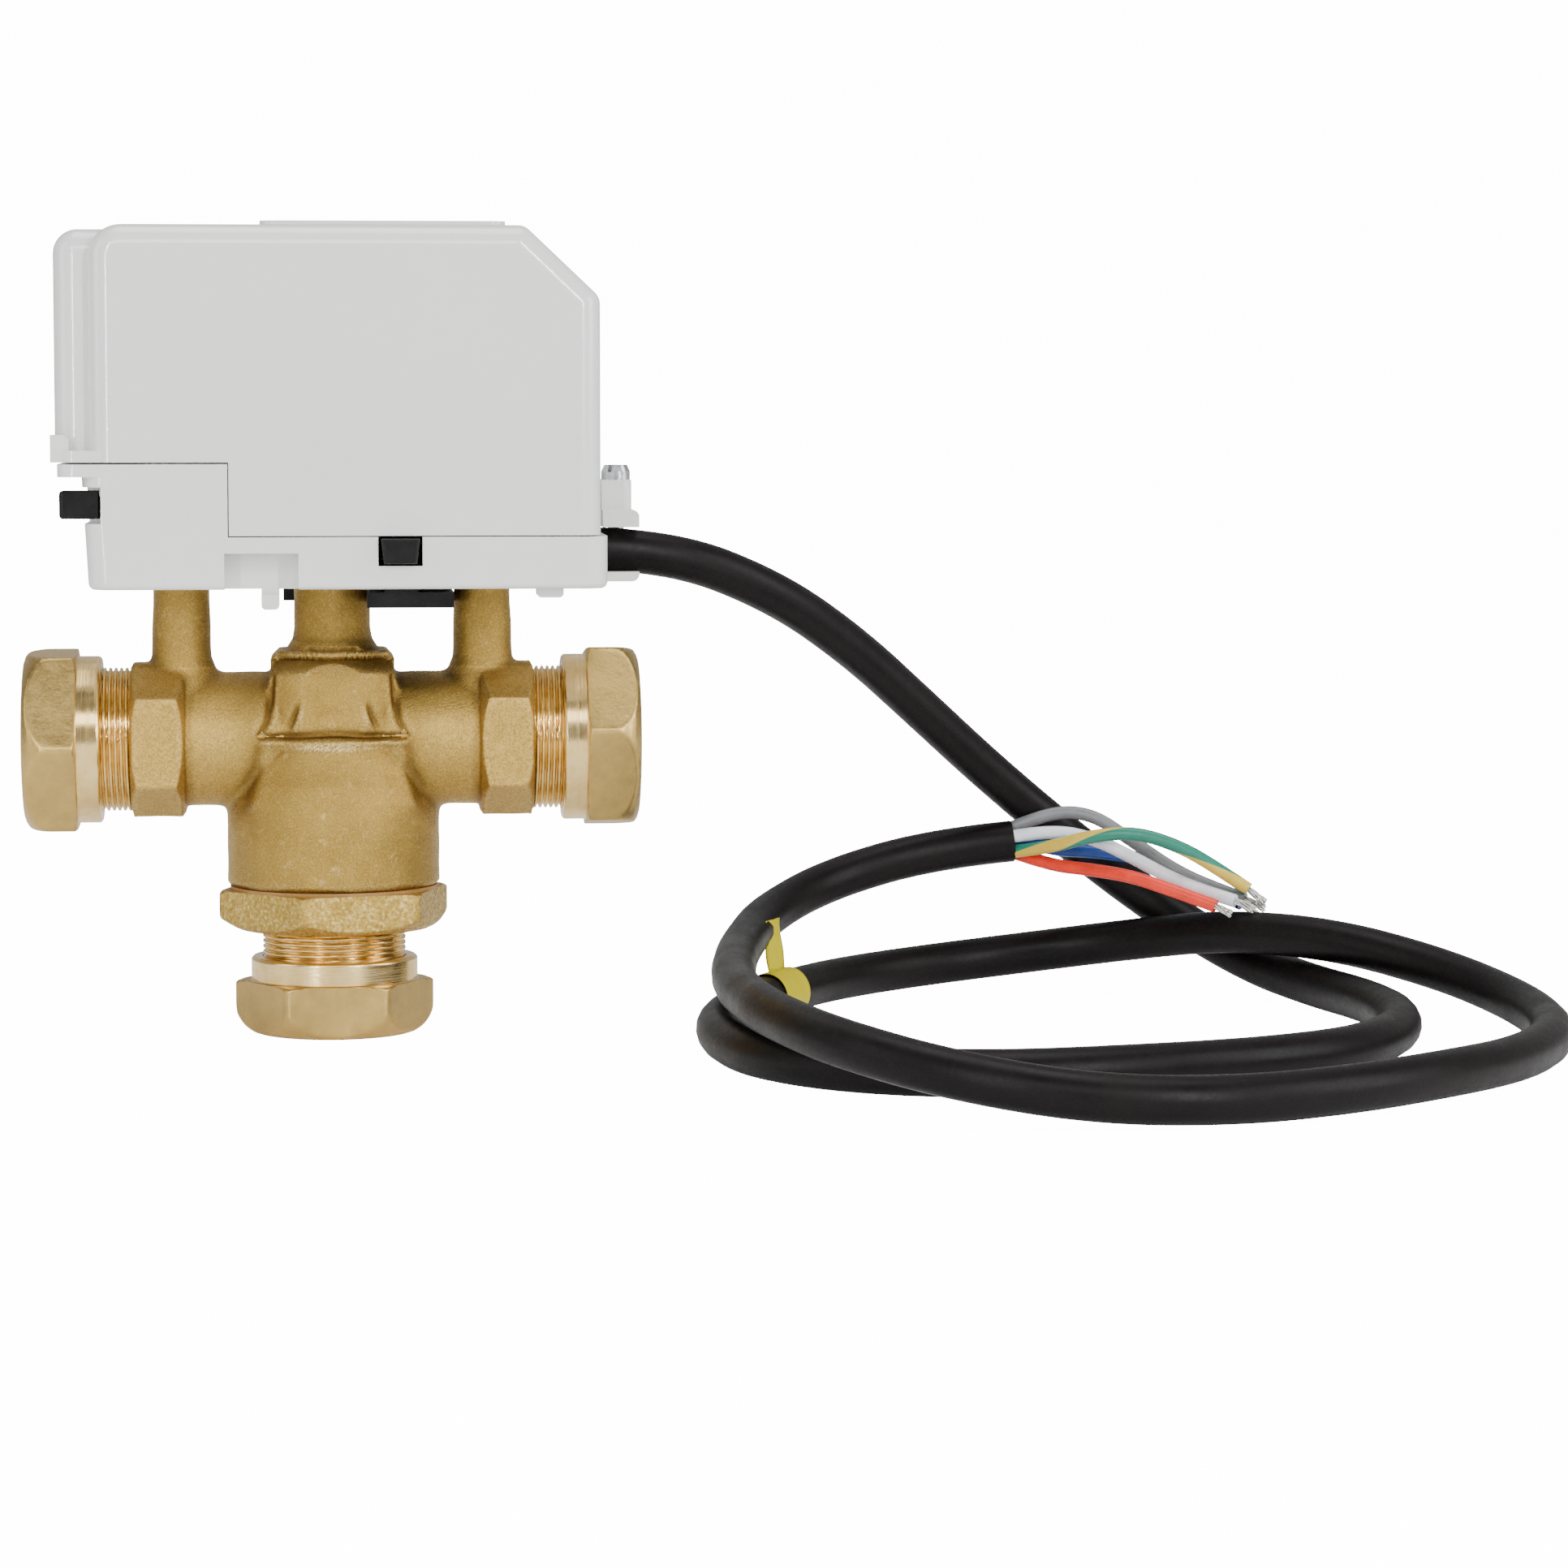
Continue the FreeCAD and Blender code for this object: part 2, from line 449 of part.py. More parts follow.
# ---------------------------------------------------------------- switches and board
sw = []
for s in (-1, 1):
    y0, y1 = (0.5, 20.0) if s > 0 else (-20.0, -0.5)
    b = box(-22.0, -11.6, y0, y1, plate_z1, 111.9)
    b = b.cut(cyl(1.05, (-14.5, s * 3.2, 108.4), (-11.0, s * 3.2, 108.4)))
    for yy in (s * 6.0, s * 15.5):
        b = b.cut(cyl(1.1, (-18.5, yy, 105), (-18.5, yy, 112)))
    sw.append(b)
save(Part.makeCompound(sw), "microswitches")
for s, nm in ((-1, "switch_plunger_1"), (1, "switch_plunger_2")):
    save(fuse([cyl(1.0, (-13.5, s * 3.2, 108.4), (-8.2, s * 3.2, 108.4))]), nm)
save(Part.makeCompound([pan_screw(-18.5, s * yy, 111.9, 1.8, 1.3, 1.1, 6.4, 15) for s in (-1, 1) for yy in (6.0, 15.5)]),
     "switch_screws")
board = box(-33.4, -31.8, -20.0, 18.0, plate_z1, 136.0)
save(board, "circuit_board")
tb = box(-40.2, -33.4, -15.0, 15.0, 112.0, 122.0)
for k in range(5):
    y = -12.0 + 6.0 * k
    tb = tb.cut(cyl(1.8, (-36.8, y, 118), (-36.8, y, 123))).cut(cyl(1.5, (-41, y, 115.0), (-35.5, y, 115.0)))
save(tb, "terminal_block")

# ---------------------------------------------------------------- cable clamp
cl = box(49.8, 56.5, -5.5, 11.5, exit_z + cable_d / 2, 96.6)
cl = fillet_edges(cl, 1.3, lambda e: e.BoundBox.XMin > 56 and e.BoundBox.YLength > 10 and e.BoundBox.ZMin > 96)
boss = box(49.8, 55.4, -1.0, 11.5, 96.5, 102.0)
boss = fillet_edges(boss, 1.6, lambda e: e.BoundBox.ZLength > 5 and e.BoundBox.XMin > 55)
cl = fuse([cl, boss]).cut(cyl(1.65, (52.9, 8.0, 90), (52.9, 8.0, 103)))
save(cl, "cable_clamp")
save(pan_screw(52.9, 8.0, 102.0, 2.7, 2.7, 1.5, 18.4, 62), "clamp_screw")


# ---------------------------------------------------------------- cords
lines = {}


def tube(points, d, name):
    # straight runs joined by tangent arcs, each as large as its two runs allow
    P = [V(*p) for p in points]
    edges = []
    cur = P[0]
    radii = []
    for i in range(1, len(P) - 1):
        a = P[i - 1].sub(P[i])
        b = P[i + 1].sub(P[i])
        la, lb = a.Length, b.Length
        a = a.multiply(1.0 / la)
        b = b.multiply(1.0 / lb)
        turn = math.pi - a.getAngle(b)
        r = 0.45 * min(la, lb) / math.tan(turn / 2)
        t = 0.45 * min(la, lb)
        s = P[i].add(V(a.x * t, a.y * t, a.z * t))
        e = P[i].add(V(b.x * t, b.y * t, b.z * t))
        bis = V(a.x + b.x, a.y + b.y, a.z + b.z)
        bis = bis.multiply(1.0 / bis.Length)
        dist = math.sqrt(r * r + t * t) - r
        mid = P[i].add(V(bis.x * dist, bis.y * dist, bis.z * dist))
        edges.append(Part.LineSegment(cur, s).toShape())
        edges.append(Part.Arc(s, mid, e).toShape())
        cur = e
        radii.append((round(r, 1), round(math.degrees(turn)), round(la, 1)))
    edges.append(Part.LineSegment(cur, P[-1]).toShape())
    path = Part.Wire(edges)
    lines[name] = edges
    d0 = P[1].sub(P[0])
    prof = Part.Wire([Part.Circle(P[0], d0, d / 2.0).toShape()])
    t = path.makePipeShell([prof], True, True)
    length = path.Length
    print("%s: length %.1f mm, volume %.1f against %.1f, valid %s" % (
        name, length, t.Volume, math.pi * d * d / 4 * length, t.isValid()))
    print("   arc radius, turn, run:", radii, "last run %.1f" % P[-1].sub(P[-2]).Length)
    save(t, name)
    return t


route = [
    (47.4, 0.0, exit_z), (62.5, 2.2, 88.9), (82.9, 10.9, 80.9), (99.2, 24.2, 69.8), (113.6, 39.1, 57.3),
    (128.8, 52.2, 43.8), (146.0, 59.3, 29.5), (164.0, 54.7, 15.7), (178.8, 39.9, 6.5), (187.8, 18.3, 4.1),
    (193.2, -5.2, 4.1), (194.2, -29.1, 4.3), (189.5, -52.6, 4.3), (177.0, -73.1, 4.1), (156.9, -87.2, 4.2),
    (134.0, -96.5, 4.5), (110.5, -100.1, 4.3), (88.6, -92.2, 4.1), (73.6, -75.2, 4.1), (68.1, -52.4, 4.1),
    (68.7, -28.3, 4.2), (75.0, -4.8, 4.2), (85.1, 17.2, 4.1), (97.3, 37.4, 4.1), (114.9, 51.7, 4.7),
    (137.0, 55.8, 6.7), (158.1, 48.8, 10.0), (173.4, 32.4, 13.4), (191.3, 15.7, 13.4), (208.8, -1.3, 9.4),
    (218.3, -22.8, 5.8), (218.8, -46.5, 4.1), (212.4, -69.4, 4.1), (200.7, -90.0, 4.1), (185.1, -107.8, 4.5),
    (166.4, -122.6, 4.3), (144.8, -132.7, 4.1), (121.1, -135.1, 5.0), (98.5, -128.1, 8.3), (81.2, -112.0, 11.9),
    (73.6, -89.6, 13.4), (71.5, -65.7, 13.2), (71.1, -41.6, 12.8), (72.7, -17.6, 13.1), (76.2, 5.9, 14.5),
    (82.9, 27.9, 18.0), (97.2, 44.6, 23.1), (118.5, 52.2, 28.0), (134.1, 52.3, 29.4),
]
tube(route, cable_d, "cable")

core_routes = {
    "wire_grey": [(134.1, 52.66, 31.97), (141.2, 51.2, 35.2), (149.4, 48.9, 35.2), (157.0, 45.0, 29.9),
                  (165.1, 40.0, 24.2), (172.3, 35.0, 21.2), (177.0, 31.5, 19.6)],
    "wire_white": [(134.1, 49.96, 30.54), (141.0, 46.8, 32.0), (148.8, 43.0, 30.8), (156.1, 39.5, 27.2),
                   (163.5, 35.5, 23.2), (170.1, 31.8, 20.8), (174.6, 28.6, 19.5)],
    "wire_green_yellow": [(134.1, 50.49, 27.53), (140.8, 44.6, 28.8), (148.2, 39.6, 31.5), (156.4, 36.5, 32.4),
                          (164.8, 34.0, 29.7), (171.7, 32.0, 25.6), (177.5, 30.0, 21.6)],
    "wire_blue": [(134.1, 54.86, 29.85), (141.6, 53.6, 27.5), (149.8, 51.2, 27.3), (158.5, 49.0, 26.3), (166.0, 45.0, 24.0),
                  (173.1, 39.5, 20.3), (177.3, 36.0, 18.1)],
    "wire_red": [(134.1, 53.52, 27.1), (141.0, 48.4, 24.9), (148.4, 41.8, 24.6), (155.4, 35.8, 23.8), (162.8, 31.3, 21.4),
                 (170.5, 27.0, 18.7)],
}
# each core starts on the sheath's end face
end_p = V(134.1, 52.3, 29.4)
end_d = V(134.1 - 118.5, 52.3 - 52.2, 29.4 - 28.0)
end_d = end_d.multiply(1.0 / end_d.Length)
tips = []
for nm, pts in core_routes.items():
    p0 = V(*pts[0])
    off = (p0.sub(end_p)).dot(end_d)
    q = V(p0.x - end_d.x * off, p0.y - end_d.y * off, p0.z - end_d.z * off)
    rad = q.sub(end_p)
    q = end_p.add(rad.multiply(2.6 / rad.Length))
    print(nm, "start", round(q.x, 2), round(q.y, 2), round(q.z, 2))
    pts = [(q.x, q.y, q.z)] + list(pts[1:])
    tube(pts, core_d, nm)
    a, b = V(*pts[-2]), V(*pts[-1])
    dd = b.sub(a)
    dd = dd.multiply(1.0 / dd.Length)
    tips.append(Part.makeCylinder(0.75, 5.0, b, dd))
save(Part.makeCompound(tips), "bare_core_ends")

# torsion spring round the hub: five turns of wire
coil = [(12.0 * math.cos(math.radians(a)), 12.0 * math.sin(math.radians(a)), 87.2 + 7.5 * a / 1800.0)
        for a in range(0, 1801, 30)]
tube(coil, 1.1, "return_spring")

# wrap marker on the lower turn of the cable, with its flag
best = None
for e in lines["cable"]:
    p0, p1 = e.FirstParameter, e.LastParameter
    for k in range(21):
        q = p0 + (p1 - p0) * k / 20.0
        c = e.valueAt(q)
        d = c.distanceToPoint(V(84.5, 14.0, 4.1))
        if best is None or d < best[0]:
            best = (d, c, e.tangentAt(q))
mp, md = best[1], best[2]
md = V(md.x, md.y, 0.0)
md = md.multiply(1.0 / md.Length)
band = Part.makeCylinder(cable_d / 2 + 0.42, 10.6, V(mp.x - md.x * 5.3, mp.y - md.y * 5.3, 4.15), md)
band = band.cut(Part.makeCylinder(cable_d / 2 + 0.09, 13.0, V(mp.x - md.x * 6.5, mp.y - md.y * 6.5, 4.15), md))
band = band.cut(box(60, 130, -20, 80, -5, 0.4))
flag = Part.makeBox(5.0, 0.5, 9.8, V(-2.5, -0.25, 0))
flag.rotate(V(0, 0, 0), V(0, 0, 1), math.degrees(math.atan2(md.y, md.x)))
flag.translate(V(mp.x, mp.y, cable_d + 0.3))
save(fuse([band, flag]), "cable_marker")
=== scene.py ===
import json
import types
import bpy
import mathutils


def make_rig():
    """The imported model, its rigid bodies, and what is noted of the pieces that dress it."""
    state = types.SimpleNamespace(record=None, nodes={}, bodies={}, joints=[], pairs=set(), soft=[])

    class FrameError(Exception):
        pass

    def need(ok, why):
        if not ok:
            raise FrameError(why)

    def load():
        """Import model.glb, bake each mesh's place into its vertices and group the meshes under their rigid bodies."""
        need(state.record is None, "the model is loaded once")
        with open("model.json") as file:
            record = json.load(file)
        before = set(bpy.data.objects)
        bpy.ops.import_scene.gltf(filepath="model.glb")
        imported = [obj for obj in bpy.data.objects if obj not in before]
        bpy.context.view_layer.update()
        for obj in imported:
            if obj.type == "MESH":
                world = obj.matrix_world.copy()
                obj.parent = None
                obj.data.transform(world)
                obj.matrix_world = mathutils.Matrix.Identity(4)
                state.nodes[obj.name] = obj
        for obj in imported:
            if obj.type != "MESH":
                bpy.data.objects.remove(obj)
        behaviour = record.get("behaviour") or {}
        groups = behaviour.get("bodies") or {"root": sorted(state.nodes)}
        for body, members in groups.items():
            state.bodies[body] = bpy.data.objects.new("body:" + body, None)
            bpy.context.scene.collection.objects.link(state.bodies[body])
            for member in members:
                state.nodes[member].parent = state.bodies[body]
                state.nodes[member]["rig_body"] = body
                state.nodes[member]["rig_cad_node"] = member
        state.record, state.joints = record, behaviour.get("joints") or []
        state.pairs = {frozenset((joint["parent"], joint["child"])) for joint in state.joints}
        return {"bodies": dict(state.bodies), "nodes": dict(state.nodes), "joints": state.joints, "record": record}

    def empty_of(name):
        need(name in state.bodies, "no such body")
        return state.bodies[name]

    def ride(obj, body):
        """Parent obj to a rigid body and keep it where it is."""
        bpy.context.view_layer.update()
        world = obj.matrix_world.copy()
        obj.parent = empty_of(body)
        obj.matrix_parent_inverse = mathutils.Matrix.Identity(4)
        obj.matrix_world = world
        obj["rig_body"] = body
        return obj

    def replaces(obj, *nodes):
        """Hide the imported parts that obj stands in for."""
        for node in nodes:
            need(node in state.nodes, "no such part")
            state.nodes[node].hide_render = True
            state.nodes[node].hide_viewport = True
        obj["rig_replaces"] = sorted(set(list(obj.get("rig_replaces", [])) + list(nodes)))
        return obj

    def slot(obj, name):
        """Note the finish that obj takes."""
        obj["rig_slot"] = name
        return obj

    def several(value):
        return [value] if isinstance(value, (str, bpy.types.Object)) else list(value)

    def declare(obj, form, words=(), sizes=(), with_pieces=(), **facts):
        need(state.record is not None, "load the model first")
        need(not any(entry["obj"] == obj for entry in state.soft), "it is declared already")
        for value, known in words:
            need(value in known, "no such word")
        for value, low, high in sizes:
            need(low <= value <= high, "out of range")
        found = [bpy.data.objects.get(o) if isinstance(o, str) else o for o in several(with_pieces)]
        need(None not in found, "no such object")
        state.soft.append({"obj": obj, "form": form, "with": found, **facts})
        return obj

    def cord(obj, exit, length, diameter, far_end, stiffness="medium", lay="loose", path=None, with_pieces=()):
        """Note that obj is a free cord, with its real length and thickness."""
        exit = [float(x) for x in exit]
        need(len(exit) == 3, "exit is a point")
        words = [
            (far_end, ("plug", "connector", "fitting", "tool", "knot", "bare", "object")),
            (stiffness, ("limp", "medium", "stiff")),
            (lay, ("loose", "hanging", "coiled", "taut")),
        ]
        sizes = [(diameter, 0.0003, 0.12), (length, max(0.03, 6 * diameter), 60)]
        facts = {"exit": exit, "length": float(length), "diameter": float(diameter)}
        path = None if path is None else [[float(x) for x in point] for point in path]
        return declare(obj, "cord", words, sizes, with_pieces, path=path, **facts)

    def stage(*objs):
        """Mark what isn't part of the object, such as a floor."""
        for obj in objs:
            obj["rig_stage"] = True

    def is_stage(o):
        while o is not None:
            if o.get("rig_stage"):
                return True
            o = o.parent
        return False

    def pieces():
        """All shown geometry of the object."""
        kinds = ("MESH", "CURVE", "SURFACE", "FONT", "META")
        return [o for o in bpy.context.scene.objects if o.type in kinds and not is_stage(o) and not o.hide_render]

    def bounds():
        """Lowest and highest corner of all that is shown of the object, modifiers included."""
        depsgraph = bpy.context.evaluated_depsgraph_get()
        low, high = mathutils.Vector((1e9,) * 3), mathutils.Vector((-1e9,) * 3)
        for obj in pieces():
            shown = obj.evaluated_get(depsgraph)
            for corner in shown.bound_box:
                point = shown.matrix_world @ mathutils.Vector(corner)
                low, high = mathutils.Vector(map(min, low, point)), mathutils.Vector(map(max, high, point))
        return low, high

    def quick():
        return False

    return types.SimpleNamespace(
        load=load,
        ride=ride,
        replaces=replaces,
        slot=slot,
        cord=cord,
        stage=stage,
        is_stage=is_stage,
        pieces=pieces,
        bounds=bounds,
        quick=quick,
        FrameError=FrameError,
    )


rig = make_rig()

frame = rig.load()
cad_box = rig.bounds()

import bpy, bmesh, json, math
import numpy as np
from mathutils import Vector, Matrix

scene = bpy.context.scene
coll = scene.collection

# ------------------------------------------------------------------ camera
cam_data = bpy.data.cameras.new("camera")
cam_data.sensor_width = 36.0
cam_data.sensor_fit = "HORIZONTAL"
cam_data.lens = 5985.0 / 1932.0 * 36.0
cam_data.clip_start = 0.05
cam_data.clip_end = 60.0
cam = bpy.data.objects.new("camera", cam_data)
coll.objects.link(cam)
cam.location = (0.0, -0.900, 0.1175)
cam.rotation_euler = (math.radians(90.0 - 4.567), 0.0, math.radians(-5.317))
scene.camera = cam


# ------------------------------------------------------------------ node helpers
class Mat:
    """A procedural material on object coordinates, in metres."""

    def __init__(self, name, base, rough, metallic=0.0, spec=None, coat=0.0, coat_rough=0.1, sheen=0.0, ior=None, aniso=0.0):
        self.m = bpy.data.materials.new(name)
        self.m.use_nodes = True
        self.nt = self.m.node_tree
        self.n = self.nt.nodes
        self.l = self.nt.links
        self.b = self.n["Principled BSDF"]
        self.b.inputs["Base Color"].default_value = (*base, 1.0)
        self.b.inputs["Roughness"].default_value = rough
        self.b.inputs["Metallic"].default_value = metallic
        if spec is not None:
            self.b.inputs["Specular IOR Level"].default_value = spec
        if ior is not None:
            self.b.inputs["IOR"].default_value = ior
        self.b.inputs["Coat Weight"].default_value = coat
        self.b.inputs["Coat Roughness"].default_value = coat_rough
        self.b.inputs["Sheen Weight"].default_value = sheen
        self.b.inputs["Anisotropic"].default_value = aniso
        self.tc = self.n.new("ShaderNodeTexCoord")
        self.height = None

    def coord(self, scale=(1, 1, 1), rot=(0, 0, 0)):
        mp = self.n.new("ShaderNodeMapping")
        mp.inputs["Scale"].default_value = scale
        mp.inputs["Rotation"].default_value = rot
        self.l.new(self.tc.outputs["Object"], mp.inputs["Vector"])
        return mp.outputs["Vector"]

    def noise(self, scale, detail=3.0, rough=0.5, vec=None, dist=0.0):
        t = self.n.new("ShaderNodeTexNoise")
        t.inputs["Scale"].default_value = scale
        t.inputs["Detail"].default_value = detail
        t.inputs["Roughness"].default_value = rough
        t.inputs["Distortion"].default_value = dist
        self.l.new(vec or self.tc.outputs["Object"], t.inputs["Vector"])
        return t.outputs["Fac"]

    def voronoi(self, scale, vec=None, feature="F1", out="Distance"):
        t = self.n.new("ShaderNodeTexVoronoi")
        t.feature = feature
        t.inputs["Scale"].default_value = scale
        self.l.new(vec or self.tc.outputs["Object"], t.inputs["Vector"])
        return t.outputs[out]

    def ramp(self, fac, stops, interp="LINEAR"):
        r = self.n.new("ShaderNodeValToRGB")
        r.color_ramp.interpolation = interp
        els = r.color_ramp.elements
        while len(els) > 1:
            els.remove(els[-1])
        els[0].position = stops[0][0]
        els[0].color = stops[0][1] if len(stops[0][1]) == 4 else (*stops[0][1], 1)
        for p, c in stops[1:]:
            e = els.new(p)
            e.color = c if len(c) == 4 else (*c, 1)
        self.l.new(fac, r.inputs["Fac"])
        return r.outputs["Color"]

    def maprange(self, fac, a, b, c, d):
        r = self.n.new("ShaderNodeMapRange")
        r.inputs["From Min"].default_value = a
        r.inputs["From Max"].default_value = b
        r.inputs["To Min"].default_value = c
        r.inputs["To Max"].default_value = d
        self.l.new(fac, r.inputs["Value"])
        return r.outputs["Result"]

    def math(self, op, a, b=None, clamp=False):
        r = self.n.new("ShaderNodeMath")
        r.operation = op
        r.use_clamp = clamp
        for i, v in enumerate((a, b)):
            if v is None:
                continue
            if isinstance(v, (int, float)):
                r.inputs[i].default_value = v
            else:
                self.l.new(v, r.inputs[i])
        return r.outputs[0]

    def mix(self, fac, a, b, blend="MIX"):
        r = self.n.new("ShaderNodeMix")
        r.data_type = "RGBA"
        r.blend_type = blend
        if isinstance(fac, (int, float)):
            r.inputs[0].default_value = fac
        else:
            self.l.new(fac, r.inputs[0])
        for i, v in ((6, a), (7, b)):
            if isinstance(v, tuple):
                r.inputs[i].default_value = (*v, 1) if len(v) == 3 else v
            else:
                self.l.new(v, r.inputs[i])
        return r.outputs[2]

    def color(self, sock):
        self.l.new(sock, self.b.inputs["Base Color"])

    def rough(self, sock):
        self.l.new(sock, self.b.inputs["Roughness"])

    def bump(self, height, strength, dist):
        bp = self.n.new("ShaderNodeBump")
        bp.inputs["Strength"].default_value = strength
        bp.inputs["Distance"].default_value = dist
        self.l.new(height, bp.inputs["Height"])
        if self.height is not None:
            self.l.new(self.height, bp.inputs["Normal"])
        self.height = bp.outputs["Normal"]
        return self

    def done(self):
        if self.height is not None:
            self.l.new(self.height, self.b.inputs["Normal"])
        return self.m

    def pointiness(self):
        g = self.n.new("ShaderNodeNewGeometry")
        return g.outputs["Pointiness"]


def cast_brass():
    k = Mat("cast_brass_blasted", (0.52, 0.38, 0.17), 0.50, metallic=1.0)
    grain = k.noise(3300.0, 2.0, 0.6)
    blotch = k.noise(110.0, 4.0, 0.6)
    soft = k.noise(420.0, 4.0, 0.65)
    spark = k.voronoi(2300.0, out="Color")
    c1 = k.ramp(blotch, [(0.30, (0.285, 0.178, 0.038)), (0.5, (0.355, 0.228, 0.052)), (0.72, (0.43, 0.283, 0.072))])
    c2 = k.ramp(grain, [(0.32, (0.28, 0.17, 0.032)), (0.52, (0.36, 0.232, 0.054)), (0.70, (0.62, 0.44, 0.165))])
    c = k.mix(0.40, c1, c2)
    c = k.mix(k.maprange(soft, 0.60, 0.78, 0.0, 0.6), c, (0.70, 0.50, 0.19))
    # painted light and shade baked on the casting: red channel painted shade, green painted highlight, blue painted
    # light on the barrels
    at = k.n.new("ShaderNodeAttribute")
    at.attribute_name = "painted_light_shade"
    sep = k.n.new("ShaderNodeSeparateColor")
    k.l.new(at.outputs["Color"], sep.inputs["Color"])
    # painted light: the blue channel lightens the barrels and hexes, broken up by the grain
    c = k.mix(k.math("MULTIPLY", sep.outputs[2], k.maprange(grain, 0.36, 0.62, 0.45, 1.7), clamp=True), c, (0.60, 0.395, 0.105))
    # painted shade: the red channel darkens corners, creases and roots
    c = k.mix(sep.outputs[0], c, (0.13, 0.070, 0.016))
    glint_grain = k.maprange(grain, 0.42, 0.58, 0.0, 1.0)
    # painted highlight: the green channel lightens edges and the ledge lip, broken up by the grain
    c = k.mix(k.math("MULTIPLY", sep.outputs[1], glint_grain, clamp=True), c, (0.86, 0.68, 0.36))
    k.color(c)
    k.rough(k.math("SUBTRACT", k.maprange(grain, 0.3, 0.7, 0.56, 0.38), k.math("MULTIPLY", sep.outputs[1], 0.12)))
    k.bump(spark, 0.4, 0.00014).bump(grain, 0.6, 0.00024).bump(soft, 0.25, 0.0004).bump(blotch, 0.35, 0.0006)
    return k.done()


def rough_brass():
    k = Mat("collar_brass_rough", (0.52, 0.37, 0.17), 0.45, metallic=1.0)
    grain = k.noise(1500.0, 4.0, 0.65)
    blotch = k.noise(160.0, 4.0, 0.6)
    c1 = k.ramp(blotch, [(0.3, (0.38, 0.25, 0.05)), (0.55, (0.52, 0.35, 0.085)), (0.75, (0.66, 0.46, 0.13))])
    c2 = k.ramp(grain, [(0.35, (0.32, 0.20, 0.03)), (0.52, (0.54, 0.36, 0.085)), (0.66, (0.96, 0.76, 0.36))])
    k.color(k.mix(0.55, c1, c2))
    k.rough(k.maprange(grain, 0.3, 0.7, 0.6, 0.3))
    k.bump(grain, 0.8, 0.0004).bump(blotch, 0.3, 0.0006)
    return k.done()


def nut_brass(name="nut_brass_satin", tint=(0.56, 0.385, 0.125)):
    k = Mat(name, tint, 0.34, metallic=1.0)
    fine = k.noise(1400.0, 3.0, 0.6)
    mid = k.noise(240.0, 4.0, 0.65)
    big = k.noise(55.0, 3.0, 0.6)
    lo = tuple(0.78 * v for v in tint)
    hi = tuple(min(1.0, 1.18 * v) for v in tint)
    k.color(k.mix(0.4, k.ramp(big, [(0.3, lo), (0.7, hi)]), k.ramp(mid, [(0.32, lo), (0.68, hi)])))
    k.rough(k.math("ADD", k.maprange(mid, 0.3, 0.7, 0.27, 0.38), k.maprange(fine, 0.3, 0.7, 0.0, 0.10)))
    k.bump(fine, 0.35, 0.00012).bump(mid, 0.3, 0.0003)
    return k.done()


def turned_brass(axis, deep=False):
    # bright rings left by a lathe tool round the given axis
    k = Mat(("thread_brass_" if deep else "turned_brass_") + "xyz"[axis], (0.80, 0.58, 0.26), 0.2, metallic=1.0)
    s = [25.0, 25.0, 25.0]
    s[axis] = 4200.0
    rings = k.noise(1.0, 3.0, 0.6, vec=k.coord(scale=tuple(s)))
    mott = k.noise(300.0, 3.0, 0.6)
    lo, hi = ((0.66, 0.45, 0.15), (0.84, 0.62, 0.26)) if deep else ((0.80, 0.55, 0.20), (0.93, 0.70, 0.33))
    k.color(k.ramp(mott, [(0.3, lo), (0.7, hi)]))
    k.rough(k.maprange(rings, 0.3, 0.7, 0.12, 0.30))
    k.bump(rings, 0.35, 0.00008)
    return k.done()


def grey_plastic():
    k = Mat("housing_grey_plastic", (0.78, 0.78, 0.765), 0.40, spec=1.0)
    fine = k.noise(2600.0, 2.0, 0.5)
    big = k.noise(26.0, 3.0, 0.5)
    k.color(k.ramp(big, [(0.25, (0.765, 0.765, 0.75)), (0.75, (0.795, 0.795, 0.78))]))
    k.rough(k.maprange(fine, 0.3, 0.7, 0.12, 0.17))
    k.bump(fine, 0.10, 0.00005).bump(big, 0.05, 0.0006)
    return k.done()


def black_plastic():
    k = Mat("black_moulded_plastic", (0.006, 0.006, 0.006), 0.36, spec=0.18)
    fine = k.noise(1900.0, 2.0, 0.5)
    big = k.noise(180.0, 3.0, 0.6)
    k.color(k.ramp(big, [(0.3, (0.003, 0.003, 0.003)), (0.7, (0.007, 0.0065, 0.0065))]))
    k.rough(k.maprange(big, 0.3, 0.7, 0.30, 0.46))
    k.bump(fine, 0.2, 0.0001)
    return k.done()


def cable_pvc():
    k = Mat("cable_black_pvc", (0.005, 0.004, 0.004), 0.40, spec=0.14)
    fine = k.noise(1600.0, 3.0, 0.6)
    big = k.noise(75.0, 4.0, 0.6)
    dust = k.noise(420.0, 5.0, 0.7)
    c = k.ramp(big, [(0.3, (0.003, 0.0022, 0.0022)), (0.7, (0.006, 0.0042, 0.0042))])
    k.color(k.mix(k.maprange(dust, 0.58, 0.80, 0.0, 0.25), c, (0.016, 0.012, 0.012)))
    k.rough(k.math("ADD", k.maprange(big, 0.3, 0.7, 0.32, 0.44), k.maprange(fine, 0.3, 0.7, 0.0, 0.08)))
    k.bump(fine, 0.22, 0.0001).bump(big, 0.10, 0.0008)
    return k.done()


def wire_mat(name, base):
    k = Mat(name, base, 0.36, spec=0.5)
    big = k.noise(240.0, 3.0, 0.6)
    fine = k.noise(2600.0, 2.0, 0.5)
    lo = tuple(v * 0.86 for v in base)
    hi = tuple(min(1.0, v * 1.12) for v in base)
    k.color(k.ramp(big, [(0.3, lo), (0.7, hi)]))
    k.rough(k.maprange(big, 0.3, 0.7, 0.28, 0.46))
    k.bump(fine, 0.1, 0.00006)
    return k.done()


